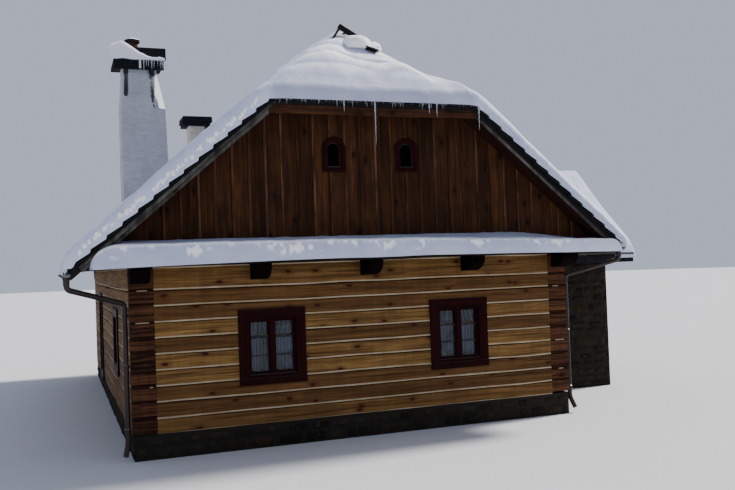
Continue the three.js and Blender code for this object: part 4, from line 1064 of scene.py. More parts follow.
class ChaletVerges(bpy.types.Operator):
    """Weathered verge boards, the boards under the hip's eave, soffit boards and stepped shingle ends"""

    bl_idname = "chalet.verges"
    bl_label = "Verges"

    def execute(self, context):
        settings = context.scene.chalet_roof
        grey = wood("Weathered wood", settings.verge_color, times(settings.verge_color, 0.2), (0.010, 0.010, 0.009),
                    fineness=3.2, depth=0.012, rough=0.9, dirt=0.95, dusted=0.3, patches=0.9)
        brown = wood("Eave board wood", (0.085, 0.032, 0.013), (0.020, 0.008, 0.004), (0.012, 0.006, 0.004),
                     fineness=3.5, patches=0.8)
        soffit = wood("Soffit wood", settings.soffit_color, times(settings.soffit_color, 0.3), (0.006, 0.003, 0.002),
                      fineness=3.5)
        shingle = wood("Shingle wood", settings.shingle_worn, settings.shingle_color, (0.006, 0.006, 0.006),
                       fineness=4.0, rough=0.85, knots=0.0)
        rng = seeded(900)
        for end in ("front", "back"):
            boards, under, butts = Surface(), Surface(), Surface()
            self.boards(boards, 800)
            self.soffits(under, 840)
            for side in (-1, 1):
                self.rake_courses(butts, side, settings.course, rng)
            self.eave_row(butts, (-HIP_CORNER, VERGE, HIP_EAVE), (HIP_CORNER, VERGE, HIP_EAVE),
                          (0.0, -1.0, -HIP_SLOPE), settings, rng)
            boards.at_end(end).mesh(f"{end}_verge_planks", [grey, brown, shingle], "weathered_wood",
                                    [f"{end}_verge_boards"])
            under.at_end(end).mesh(f"{end}_soffit_planks", [soffit], "gable_wood")
            butts.at_end(end).mesh(f"{end}_shingle_ends", [shingle], "roof_shingle")
        self.side_rows(shingle, settings, rng)
        return {"FINISHED"}

    def boards(self, made, seed):
        """Down each rake and across under the hip's eave: a dark board under the snow's edge, partly a painted shadow
        of the snow, lapped by a grey one.
        """
        grey, brown, tarred = range(3)
        for side in (-1, 1):
            normal = ways_of(side)[1]
            ends = [np.array([side * x, 0.0, main_top(x)]) for x in (HIP_CORNER - 0.06, EAVES[side] - 0.04)]
            for number, (drop, width, forward) in enumerate(
                    ((0.085, 0.09, 0.012), (0.125, 0.055, 0.024), (0.172, 0.060, 0.014))):
                # Painted shadow: the near-black boards, like the shingle ends above them, stand partly for the snow's
                # shadow.
                dark = number == 0 or (side, number) == (1, 1)
                made.board(*(place - normal * drop + (0.0, VERGE - forward, 0.0) for place in ends), width, 0.024, OUT,
                           seed + 4 * side + number + 5, wave=0.007, tone=0.75 - 0.25 * number + 0.35 * side,
                           slot=tarred if dark else grey)
        x = HIP_CORNER - 0.02
        # The hip's upper board is near black too, partly a painted shadow under the snow.
        for number, (drop, height, forward, slot) in enumerate(
                ((0.055, 0.09, 0.012, tarred), (0.168, 0.135, 0.018, brown))):
            made.level(-x, x, VERGE - forward, HIP_EAVE - drop, height, 0.024, seed + 20 + number, wave=0.005,
                       tone=0.2 + 0.4 * number, slot=slot)

    def soffits(self, made, seed):
        """Boards under the overhang from the verge back to the gable, along each rake and under the hip."""
        depth, below, thickness = (GABLE_FACE - 0.02 - VERGE) / 3, ROOF_THICKNESS + 0.012, 0.022
        for number in range(3):
            y = VERGE + depth * (number + 0.5)
            for side in (-1, 1):
                ends = [(side * x, y, main_top(x) - below) for x in (HIP_CORNER - 0.1, EAVES[side] - 0.16)]
                made.board(*ends, depth - 0.006, thickness, (-side * SLOPE, 0.0, -1.0), seed + 3 * number + side)
            ends = [(x, y, hip_top(y) - below) for x in (0.16 - HIP_CORNER, HIP_CORNER - 0.16)]
            made.board(*ends, depth - 0.006, thickness, (0.0, HIP_SLOPE, -1.0), seed + 30 + number)

    def rake_courses(self, made, side, course, rng):
        """Each course is a thin slab down the slope whose butt is lifted, so that the rake shows steps."""
        down, normal = ways_of(side)
        eave = EAVES[side] * STRETCH
        for k in range(math.ceil(HIP_CORNER * STRETCH / course) - 1, int(eave / course) + 1):
            s0, s1 = max(k * course, (HIP_CORNER - 0.05) * STRETCH), min((k + 1) * course, eave)
            y = VERGE + 0.10 + rng.uniform(-0.006, 0.006)
            for layer in (0, 1):
                ridge = np.array([0.0, y + 0.012 * layer, RIDGE]) + normal * 0.034 * layer
                made.board(ridge + down * s0 - normal * 0.088, ridge + down * s1 - normal * 0.052, 0.31, 0.030, normal,
                           int(rng.integers(1 << 30)), wave=0.003, edge=0.003)

    def side_rows(self, shingle, settings, rng):
        """Rows of shingles along the eaves of the main roof and of the wing, and up the wing's rakes."""
        back, course = LENGTH - VERGE, settings.course
        beside = [(VERGE, WING_EAVE_Y - 0.05), (WING_RIDGE_Y + WING_REACH + 0.05, back)]
        for name, side, spans in (("left", -1, [(VERGE, back)]), ("right", 1, beside)):
            part, x = Surface(), EAVES[side]
            for span in spans:
                ends = [(side * x, y, main_top(x)) for y in span[::side]]
                self.eave_row(part, *ends, ways_of(side)[0], settings, rng)
            part.mesh(f"{name}_shingle_ends", [shingle], "roof_shingle")
        wing = Surface()
        for side in (-1, 1):
            down, normal = (way[[1, 0, 2]] for way in ways_of(side))
            y = WING_RIDGE_Y + side * WING_REACH
            ends = [(x, y, wing_top(y)) for x in (HALF + 0.95, WING_VERGE)[::-side]]
            self.eave_row(wing, *ends, down, settings, rng)
            for k in range(int(WING_REACH * STRETCH / course)):
                head = np.array([WING_VERGE - 0.15, WING_RIDGE_Y, WING_RIDGE]) + down * k * course
                wing.board(head - normal * 0.04, head + down * course, 0.36, 0.03, normal,
                           int(rng.integers(1 << 30)), wave=0.003, edge=0.003)
        wing.mesh("wing_shingle_ends", [shingle], "roof_shingle")

    def eave_row(self, made, start, end, down, settings, rng):
        """Single shingles side by side, each a short board down the slope, in two layers that are staggered."""
        start, end, down = (np.asarray(v, float) for v in (start, end, down))
        reach, down, width = np.linalg.norm(end - start), unit_vector(down), settings.shingle_width
        run = (end - start) / reach
        normal = np.cross(down, run)
        normal *= math.copysign(1.0, normal[2])
        for layer in (0, 1):
            edges = np.cumsum(width * rng.uniform(0.7, 1.3, int(reach / width * 1.3)))
            edges = join([[0.0], edges[edges < reach - 0.05], [reach]])
            for a, b in zip(edges[:-1], edges[1:]):
                butt = 0.03 + 0.02 * layer + rng.uniform(-0.012, 0.008)
                centre = start + run * (a + b) / 2 + normal * (0.02 * layer - 0.012)
                made.board(centre - down * 0.3, centre + down * butt, b - a - 0.004, 0.019, normal,
                           int(rng.integers(1 << 30)), wave=0.002, edge=0.003, step=1.0)


class ChaletRoofs(bpy.types.Operator):
    """Roof plates and pent roofs in shingle and board, and the ridge boards with their pointed end"""

    bl_idname = "chalet.roofs"
    bl_label = "Roofs"

    def execute(self, context):
        settings = context.scene.chalet_roof
        dress(shingle_material(settings), "roof_left", "roof_right", "front_hip", "back_hip", "wing_roof")
        dress(wood("Pent wood", (0.022, 0.011, 0.008), (0.008, 0.005, 0.004), (0.005, 0.003, 0.003),
                   turn=(0.0, 0.0, 0.0)), "front_pent_roof", "back_pent_roof")
        tarred = wood("Ridge wood", (0.020, 0.017, 0.016), (0.008, 0.007, 0.007), (0.005, 0.004, 0.004), fineness=4.0,
                      dusted=0.35)
        made = Surface()
        low, high = corners("ridge_cap")
        lengths = np.linspace(low[1], high[1], 5)
        for side in (-1, 1):
            down, normal = ways_of(side)
            centre = (0.0, 0.0, RIDGE) + down * 0.15 - normal * 0.012
            for number, (y0, y1) in enumerate(zip(lengths[:-1], lengths[1:])):
                made.board(centre + (0, y0, 0), centre + (0, y1 + 0.03, 0), 0.30, 0.035, normal,
                           950 + number + 9 * side, wave=0.004, edge=0.005)
            for y, turn, shift, wider in ((low[1] - 0.03, 1, settings.cap_shift, 0.03), (high[1] + 0.03, -1, 0.0, 0.0)):
                top = np.array([shift - 0.02 * side, y, RIDGE + 0.03])
                foot = (0.30 * side + wider, -0.12 * turn, -0.31 + 0.065 * side)
                made.board(top, top + foot, 0.062 + 0.024 * side, 0.06, (0.0, -turn, 0.0), 980 + side, wave=0.003)
        made.board((0.17, VERGE + 0.98, RIDGE - 0.415), (0.41, VERGE + 0.99, RIDGE - 0.475), 0.022, 0.26, OUT, 990)
        made.mesh("ridge_boards", [tarred], "roof_shingle", ["ridge_cap"])
        return {"FINISHED"}


def inside(opening, inset):
    """Left, right, foot and head of an opening, drawn in from its outer edges."""
    middle, half, foot, head = opening
    return middle - half + inset, middle + half - inset, foot + inset, head - inset


def trim_boards(made, opening, seed):
    """Butt-jointed trim on the wall's face, a lining through the wall, and a sill with a drip edge."""
    left, right, low, high = inside(opening, TRIM / 2)
    outer, y = TRIM / 2, -0.014
    made.level(left - outer, right + outer, y, high, TRIM, 0.034, seed, tone=0.5)
    made.level(left - outer, right + outer, y - 0.004, low, TRIM, 0.040, seed + 1, tone=0.7)
    for number, s in enumerate((left, right)):
        made.upright(s, y, low + outer, high - outer, TRIM, 0.034, seed + 2 + number, tone=0.3 + 0.3 * number)
    lap, depth = 0.003, LOG_DEPTH + 0.02
    left, right, low, high = inside(opening, TRIM + LINING / 2 - lap)
    for number, s in enumerate((left, right)):
        made.upright(s, depth / 2 - 0.025, low - LINING / 2, high + LINING / 2, LINING + 2 * lap, depth,
                     seed + 5 + number, tone=0.8)
    for number, z in enumerate((low, high)):
        made.level(left, right, depth / 2 - 0.026, z, LINING + 2 * lap, depth, seed + 8 + number, tone=0.9)


def casements(made, opening, settings, seed):
    """Two leaves that meet on a moulded post, each with two glazing bars, thinner and darker than the stiles."""
    left, right, low, high = inside(opening, TRIM + LINING)
    stile, middle, y = settings.stile, opening[0], 0.045
    made.upright(middle, y - 0.01, low, high, 0.058, 0.058, seed, tone=0.4)
    for side, outer in ((-1, left), (1, right)):
        a, b = sorted((outer - side * stile / 2, middle + side * (0.024 + stile * 0.35)))
        for number, (s, z) in enumerate(((a, low + stile / 2), (b, high - stile / 2))):
            made.upright(s, y, low, high, stile, 0.040, seed + 3 * side + number + 10, tone=0.7)
            made.level(a, b, y, z, stile, 0.038, seed + 3 * side + number + 20, tone=0.8)
        for number in (1, 2):
            made.level(a, b, y + 0.004, low + (high - low) * number / 3, settings.bar, 0.028, seed + number + 30,
                       slot=1)


def hung_cloth(made, s0, s1, low, high, folds, gloom, seed):
    """A curtain as a closed thin sheet: depth is a sine along its width, deeper towards the hem, moved by noise. Its
    tone is shade: deep in the folds' hollows and towards the head, where the lintel keeps the light off.

    Returns the flat width and the length of the cloth, measured along the middle of its height and its side.
    """
    s, t = crossed(np.linspace(0, 1, 14 * folds + 1), np.linspace(0, 1, 9))
    phase = 2 * np.pi * folds * s + 1.6 * noise(columns(s * 6, t, t), 1.0, seed)
    hem = np.where(t < 0.01, 0.006 * np.sin(4 * np.pi * folds * s), 0.0)
    front = columns(s0 + (s1 - s0) * s, 0.115 + (0.018 - 0.008 * t) * np.sin(phase), low + (high - low) * t + hem)
    shade = 0.35 + gloom + 0.2 * np.sin(phase) + 0.6 * noise(columns(s * 3, t * 2.5, t), 1.0, seed + 1)
    made.pillow(front, front + (0.0, 0.0012, 0.0), tone=ramp(shade))
    return np.linalg.norm(np.diff(front[:, 4], axis=0), axis=-1).sum(), high - low


class ChaletWindows(bpy.types.Operator):
    """Trims, linings, casements with their bars, glass and net curtains, and the arched windows of the attic"""

    bl_idname = "chalet.windows"
    bl_label = "Windows"

    def execute(self, context):
        settings = context.scene.chalet_window
        paint = wood("Oxblood paint", settings.trim_color, times(settings.trim_color, 0.42), (0.012, 0.004, 0.004),
                     fineness=5.0, knots=0.0, depth=0.0025, rough=0.55, dirt=0.3, dusted=0.15, gloss=0.05)
        bars = painted_metal("Bar paint", settings.bar_color, times(settings.bar_color, 2), metallic=0.0)
        cloth = curtain_material()
        for number, (name, wall) in enumerate(WINDOWS.items()):
            made, opening, seed = Surface(), opening_on(wall, f"{name}_frame"), 1000 + 60 * number
            trim_boards(made, opening, seed)
            casements(made, opening, settings, seed + 15)
            made.place(wall).mesh(f"{name}_joinery", [paint, bars], "trim_paint", [f"{name}_frame"])
            self.curtains(name, wall, opening, settings.folds, cloth, seed + 50)
        dress(glass_material("Window glass", 1.0, 1.3), *[f"{name}_glass" for name in WINDOWS])
        # Nearly black panes: painted shade of the dark attic behind them.
        dress(glass_material("Sooty attic glass", 0.01, 1.08), "attic_window_left_glass", "attic_window_right_glass")
        self.attic([paint, bars])
        return {"FINISHED"}

    def curtains(self, name, wall, opening, folds, cloth, seed):
        """A short curtain over the two lower rows of panes and a valance above it."""
        left, right, low, high = inside(opening, TRIM + LINING + 0.012)
        # The last number adds painted shade, most on the right windows' valances.
        parts = {
            "curtain": (low, low + (high - low) * 0.64, folds, 0.0),
            "valance": (high - (high - low) * 0.27, high, folds - 3, 0.5 if "right" in name else 0.15),
        }
        for number, (label, shape) in enumerate(parts.items()):
            made = Surface()
            flat = hung_cloth(made, left, right, *shape, seed + number)
            piece = made.place(wall).mesh(f"{name}_{label}", [cloth], "window_glass")

    def attic(self, materials):
        """Arched trims with a rounded face, a lining and a narrow sash inside each, and a panel behind them."""
        for number, side in enumerate(("left", "right")):
            middle, half, foot, crown = attic_openings()[number]
            made, sash = Surface(), half - ATTIC_TRIM
            for inner, outer, face, deep, slot in (
                    (sash, half, -0.034, 0.01, 0), (sash - 0.030, sash + 0.004, -0.020, 0.118, 0),
                    (sash - 0.046, sash - 0.026, 0.012, 0.034, 1)):
                self.arch(made, middle, foot + half - outer, crown - half, inner, outer, GABLE_FACE + face,
                          GABLE_FACE + deep, slot, 1400 + 10 * number)
            panel(made, middle - half + 0.09, middle + half - 0.09, foot + 0.09, crown - 0.11, GABLE_FACE + 0.085,
                  GABLE_FACE + 0.10, 1490, 0.5)
            made.mesh(f"attic_window_{side}_joinery", materials, "trim_paint", [f"attic_window_{side}_frame"])

    def arch(self, made, middle, foot, springing, inner, outer, face, deep, slot, seed):
        """A rectangular section carried up one side, round a half circle and down again, closed along the foot."""
        def outline(reach, low):
            turn, jamb = np.linspace(0, np.pi, 21), np.linspace(low, springing, 7)[:-1]
            return join([columns(middle + reach, jamb),
                         columns(middle + reach * np.cos(turn), springing + reach * np.sin(turn)),
                         columns(middle - reach, jamb[::-1]),
                         columns(np.linspace(-reach, reach, 9)[1:-1] + middle, low)])
        out, inn, edge = outline(outer, foot), outline(inner, foot + outer - inner), 0.005
        rings = np.stack([columns(form[:, 0], y, form[:, 1]) for form, y in (
            (out, deep), (out, face + edge), (out + (inn - out) * 0.12, face), (inn + (out - inn) * 0.12, face),
            (inn, face + edge), (inn, deep))])
        steps, places = rings.shape[:2]
        index = numbered(steps, places)
        grain = columns(np.arange(places) * 0.05, np.linspace(0, 0.1, steps)[:, None], 0.0)
        made.add(rings, grid_faces(wrapped(join([index, index[:1]]))), grain + seed % 7, slot=slot)


class ChaletDoor(bpy.types.Operator):
    """Plank door with ledges, strap hinges, a lock plate and a handle, in a trimmed frame"""

    bl_idname = "chalet.door"
    bl_label = "Door"

    def execute(self, context):
        opening = opening_on("left", "door_frame")
        plank = wood("Door plank", (0.085, 0.034, 0.018), (0.030, 0.013, 0.008), (0.012, 0.006, 0.004), fineness=3.5,
                     rough=0.6)
        iron = painted_metal("Forged iron", (0.018, 0.017, 0.017), (0.05, 0.035, 0.028), rough=0.55, metallic=0.8)
        trim, leaf = Surface(), Surface()
        trim_boards(trim, opening, 1600)
        trim.place("left").mesh("door_joinery", [bpy.data.materials["Oxblood paint"]], "trim_paint", ["door_frame"])
        left, right, low, high = inside(opening, TRIM + LINING + 0.004)
        edges = np.linspace(left, right, 7)
        for number, (a, b) in enumerate(zip(edges[:-1], edges[1:])):
            leaf.upright((a + b) / 2, 0.09, low, high, b - a - 0.004, 0.036, 1620 + number, edge=0.006,
                         tone=0.2 + 0.12 * number)
        for number, z in enumerate((low + 0.22, (low + high) / 2, high - 0.22)):
            leaf.level(left + 0.02, right - 0.02, 0.064, z, 0.13, 0.024, 1640 + number)
        for number, z in enumerate((low + 0.22, high - 0.22)):
            leaf.level(left, left + 0.46, 0.048, z, 0.045, 0.008, 1650 + number, slot=1)
            leaf.upright(left + 0.005, 0.035, z - 0.05, z + 0.05, 0.024, 0.024, 1655, slot=1)
        latch, z = right - 0.09, low + 1.02
        leaf.upright(latch, 0.066, z - 0.11, z + 0.11, 0.045, 0.014, 1660, slot=1)
        leaf.board((latch, 0.068, z + 0.03), (latch, 0.012, z + 0.03), 0.018, 0.018, UP, 1661, slot=1)
        leaf.board((latch + 0.008, 0.014, z + 0.03), (latch - 0.12, 0.018, z + 0.028), 0.020, 0.016, OUT, 1662, slot=1)
        leaf.place("left").mesh("door_leaf", [plank, iron], "dark_wood", ["door"])
        return {"FINISHED"}


def shaft_rings(x0, x1, y0, y1, heights, cut, seed, wave, flat_cut=0.0):
    """Rectangles stacked over heights: three arrises are rounded by cut, the front right one is chamfered by
    flat_cut where that is larger, x0, x1 and flat_cut may change with height, and noise moves the plaster."""
    turn = np.radians(np.linspace(0.0, 90.0, 5))
    arc = columns(np.cos(turn), np.sin(turn))
    chord = arc / arc.sum(axis=-1, keepdims=True)
    fine = 24 if len(heights) > 8 else 4
    at = join([k + np.arange(n) / n for k, n in enumerate(np.tile([2, 2, 2, 2, fine], 4))])
    heights, x0, x1, flat_cut = np.broadcast_arrays(heights, x0, x1, flat_cut)
    rings = []
    for z, left, right, flat in zip(heights, x0, x1, flat_cut):
        ring = []
        for k, (x, y) in enumerate(((right, y1), (left, y1), (left, y0), (right, y0))):
            shape, size = (chord, flat) if k == 3 and flat > cut else (arc, cut)
            cos, sin = math.cos(k * np.pi / 2), math.sin(k * np.pi / 2)
            inset = (math.copysign(size, x - (left + right) / 2), math.copysign(size, y - (y0 + y1) / 2))
            ring.append(shape * size @ np.array([[cos, sin], [-sin, cos]]) + (x - inset[0], y - inset[1]))
        ring = join([*ring, ring[0][:1]])
        rings.append(columns(*(np.interp(at, np.arange(len(ring)), axis) for axis in ring.T), z))
    rings = np.array(rings)
    away = unit_vector((rings - ((x0[0] + x1[0]) / 2, (y0 + y1) / 2, 0.0)) * (1.0, 1.0, 0.0))
    return rings + away * (wave * lumps(rings, 1.6, seed))[..., None]


def sheet_box(made, low, high, seam, seed):
    """A box of folded sheet metal with rounded arrises and a raised seam round its foot."""
    heights = (low[2], low[2] + 0.006, low[2] + seam, low[2] + seam + 0.008, high[2] - 0.01, high[2])
    rings = [shaft_rings(low[0] - g, high[0] + g, low[1] - g, high[1] + g, [z], 0.012, seed, 0.002)[0]
             for z, g in zip(heights, (0.0, 0.008, 0.008, 0.0, 0.0, -0.008))]
    made.tube(np.array(rings), tone=0.0)


def hump(distance, width):
    """1 where the distance is 0, falling as e to the power of minus the square of distance over width."""
    return np.exp(-((distance / width) ** 2))


class ChaletChimneys(bpy.types.Operator):
    """The large plastered chimney with its black cap, lid and pot, and the small chimney at the back"""

    bl_idname = "chalet.chimneys"
    bl_label = "Chimneys"

    def execute(self, context):
        settings = context.scene.chalet_chimney
        plaster, beige, clay = settings.plaster_color, settings.beige_color, settings.clay_color
        metal = painted_metal("Black sheet metal", settings.metal_color, times(settings.metal_color, 1.6), rough=0.8,
                              metallic=0.0, gloss=0.05)
        self.large_shaft(settings.shoulder, masonry(
            "Chimney plaster", plaster, times(plaster, 0.78), grit=0.006, stain=0.12,
            stained_tone=settings.soot_color, coarse=16.0, coursed=0.075, scale=2.0))
        self.large_cap(metal)
        self.pot([masonry("Fired clay", clay, times(clay, 0.5), grit=0.003, stain=0.5), metal])
        self.small(metal, masonry("Beige plaster", beige, times(beige, 0.6), grit=0.006, coarse=16.0, scale=4.0,
                                  coursed=0.075))
        return {"FINISHED"}

    def small(self, metal, plaster):
        """A straight shaft under a hood with seams in front and behind."""
        shaft, cap = Surface(), Surface()
        low, high = corners("small_chimney")
        heights = join([[0.0, 3.0], np.linspace(4.5, high[2], 40)])
        shaft.tube(shaft_rings(low[0], high[0], low[1], high[1], heights, 0.02, 1801, 0.008))
        shaft.mesh("small_chimney_shaft", [plaster], "beige_plaster", ["small_chimney"])
        low, high = corners("small_chimney_cap")
        sheet_box(cap, low + (0, 0, 0.10), high - (0, 0, 0.012), 0.03, 1810)
        sheet_box(cap, low + (0.03, 0.03, 0.0), (high[0] - 0.06, high[1] - 0.04, low[2] + 0.11), 0.03, 1812)
        for number in range(1, 4):
            x = low[0] + (high[0] - low[0]) * number / 4
            for y, out in ((low[1] - 0.004, -1), (high[1] + 0.004, 1)):
                cap.board((x, y, low[2] + 0.13), (x, y, high[2] - 0.02), 0.022, 0.02, (0, out, 0), 1815 + number)
        cap.mesh("small_chimney_hood", [metal], "black_metal", ["small_chimney_cap"])

    def large_shaft(self, shoulder, plaster):
        """Straight up to the shoulder, then drawn in at the right, with a chamfer that widens to the top; soot runs
        down below the cap in two streaks with round ends, the right one on the chamfer, where it breaks into specks.
        The tone is darker in a band just under the cap, and paints a highlight, near white, on the chamfer's face."""
        low, high = corners("large_chimney")
        heights = join([[0.0, 2.5], np.linspace(3.4, shoulder - 0.03, 50), np.linspace(shoulder, high[2] + 0.14, 54)])
        rise = ramp(heights, shoulder, high[2])
        chamfer = np.where(rise > 0, 0.155 + 0.095 * rise, 0.0)
        right = high[0] - 0.17 * rise + 0.022 * np.clip(shoulder - heights, 0.0, 1.5)
        rings = shaft_rings(low[0] - 0.03 + 0.06 * rise, right, low[1], high[1], heights, 0.03, 1701, 0.008, chamfer)
        x, down = rings[..., 0], high[2] - rings[..., 2]
        wander = 0.012 * noise(rings * (0.0, 0.0, 5.0), 1.0, 1705)
        patchy = 0.75 + 0.25 * noise(rings * (9.0, 9.0, 0.6), 1.0, 1706)
        specks = ramp(9.0 * noise(rings * (26.0, 26.0, 13.0), 1.0, 1702) - 0.8)
        specked = hump(x - high[0] + 0.25, 0.07) * hump(down - 0.68, 0.16)
        streaks = specks * np.minimum(1.6 * specked, 1.0) + np.clip(0.5 - down / 0.12, 0.0, 0.3)
        for middle, half, end in ((low[0] + 0.10, 0.048, 0.58),
                                  (high[0] - 0.295, np.clip(0.072 - 0.055 * down, 0.02, 0.072), 0.72)):
            off = np.hypot(np.abs(x - middle - wander) / half, np.maximum(down - end + 0.06, 0.0) / 0.06)
            streaks = streaks + np.clip((1.15 - off) / 0.3, 0.0, patchy)
        front = ramp(rings[..., 1], low[1] + 0.27, low[1] + 0.25)
        # Painted highlight: the chamfer's face, away from the soot, toned near white.
        lit = 0.8 * ramp(x - (right - chamfer)[:, None], 0.0, 0.02) * (rise > 0)[:, None]
        made = Surface()
        made.tube(rings, tone=np.clip((streaks - lit * (streaks < 0.1)) * front, -1.0, 1.0))
        made.mesh("large_chimney_shaft", [plaster], "plaster", ["large_chimney"])

    def large_cap(self, metal):
        """A plate with a deep fascia in front, upright seams and one bright edge, a painted highlight, and a lid over
        its right half on four posts, with a narrower box before it."""
        low, high = corners("large_chimney_cap")
        slab_top, lid_left, right = low[2] + 0.25, -3.085, high[0] - 0.07
        low, lid_low, made = low + (0.0, 0.0, 0.045), slab_top + 0.06, Surface()
        sheet_box(made, low, (right, low[1] + 0.10, slab_top), 0.03, 1720)
        sheet_box(made, low + (0.004, 0.05, 0.10), (right - 0.004, high[1], slab_top - 0.004), 0.03, 1722)
        sheet_box(made, (lid_left, low[1] + 0.11, lid_low), (high[0] - 0.01, high[1] - 0.02, high[2] + 0.05), 0.02,
                  1730)
        sheet_box(made, (lid_left - 0.085, low[1] + 0.09, lid_low), (high[0] - 0.005, low[1] + 0.27, high[2] + 0.06),
                  0.02, 1732)
        for x, y in itertools.product((lid_left + 0.055, right - 0.04), (low[1] + 0.165, high[1] - 0.075)):
            made.upright(x, y, slab_top - 0.02, lid_low + 0.02, 0.06, 0.06, 1740, tone=0.0)
        for number in range(1, 7):
            made.upright(low[0] + (right - low[0]) * number / 7, low[1] - 0.004, low[2] + 0.03, slab_top - 0.01, 0.016,
                         0.02, 1745 + number, tone=0.0)
        # Painted highlight: a bright upright strip on the fascia.
        made.upright(low[0] + 0.525 * (right - low[0]), low[1] - 0.008, low[2] + 0.01, slab_top, 0.048, 0.024, 1760,
                     slot=1)
        # Near white: a painted gleam on the black sheet metal.
        bright = painted_metal("Sheet metal, painted gleam", (0.80, 0.78, 0.70), (0.55, 0.54, 0.50), rough=0.5, metallic=0.0)
        made.mesh("large_chimney_hood", [metal, bright], "black_metal", ["large_chimney_cap"])

    def pot(self, materials):
        """A turned pot under a flat lid: its radius over height is the profile, turned about a hollow flue."""
        low, high = corners("chimney_pot")
        (x, y, _), foot, top = (low + high) / 2, low[2], high[2] - 0.035
        profile = [(0.125, foot), (0.120, foot + 0.2), (0.122, top - 0.16), (0.135, top - 0.14), (0.140, top - 0.10),
                   (0.128, top - 0.08), (0.130, top), (0.112, top - 0.01), (0.100, top - 0.12), (0.098, foot + 0.1)]
        lid = [(0.02, top - 0.004), (0.168, top - 0.004), (0.175, top + 0.006), (0.172, top + 0.05),
               (0.160, top + 0.058), (0.02, top + 0.060)]
        turn, made = circle(32), Surface()
        for slot, outline in enumerate((profile, lid)):
            radius, z = np.array(outline).T[..., None]
            made.tube(columns(x + radius * np.cos(turn), y + radius * np.sin(turn), z), slot=slot)
        made.mesh("turned_chimney_pot", materials, "clay", ["chimney_pot"])


def lipped(start, end, step, lip, radius, marks=()):
    """Places and lifts across a snow sheet that stands lip beyond both ends, with even steps between round brows, and
    a pair of places close on either side of each mark.

    At each end the place is radius times (1 - cos a) in from the outermost line, and the lift is (sin a + sin b)
    over (1 + sin b), to the power 0.8, for a from -b up to a right angle.
    """
    under = math.radians(25.0)
    a = np.linspace(-under, math.pi / 2, 10)
    lift = np.maximum((np.sin(a) + math.sin(under)) / (1 + math.sin(under)), 0.0) ** 0.8
    inward = radius * (1 - np.cos(a))
    first, last = start - lip + radius, end + lip - radius
    middle = np.linspace(first, last, int((end - start) / step))[1:-1]
    if len(marks):
        near = np.abs(middle[:, None] - marks).min(axis=1) > 0.3 * step
        middle = np.sort(join([middle[near], marks - 0.004, marks + 0.004]))
        middle = middle[(middle > first + 0.01) & (middle < last - 0.01)]
    return (join([start - lip + inward, middle, (end + lip - inward)[::-1]]),
            join([lift, np.ones(len(middle)), lift[::-1]]))


def snow_sheet(grid_x, grid_y, top, rim, floor, inner, tone):
    """A sheet of snow over a roof: its underside runs level from the rim to the inner line, where the roof's edge
    stands, and rises from there to the floor over the first nine rows."""
    rows, places = np.indices(grid_x.shape)
    ring = np.minimum(np.minimum(rows, rows[::-1]), np.minimum(places, places[:, ::-1]))
    below = [grid + 0.97 * (np.clip(grid, *ends) - grid) for grid, ends in zip((grid_x, grid_y), inner)]
    made = Surface()
    made.pillow(columns(grid_x, grid_y, top), columns(*below, rim + (floor - rim) * ramp(ring, 1, 9)), tone=tone)
    return made


def soft_min(a, b, width):
    """The lower of two surfaces, with their edge rounded over width."""
    h = ramp(b - a, -width, width)
    return b * (1 - h) + a * h - width * h * (1 - h)


def mound(made, centre, radii, seed, facing=UP, size=11):
    """A lump over a flat foot: over the unit disc its height is the square root of (1 - r squared), and its edge and
    height are moved by noise. Its height points the way it faces."""
    u, v = crossed(np.linspace(-1, 1, size), np.linspace(-1, 1, size))
    du, dv = u * np.sqrt(1 - v**2 / 2), v * np.sqrt(1 - u**2 / 2)
    shape = columns(du, dv, np.sqrt(np.maximum(1 - du**2 - dv**2, 0.0)))
    shape *= 1 + 0.14 * lumps(shape, 1.7, seed)[..., None]
    foot = shape * (1.0, 1.0, 0.0) - (0.0, 0.0, 0.1)
    basis = np.array([np.cross(np.roll(facing, 1), facing), np.roll(facing, 1), facing])
    # Painted highlight: every lump is toned one, the whitest snow.
    made.pillow(*(centre + form * radii @ basis for form in (shape, foot)), tone=1.0)


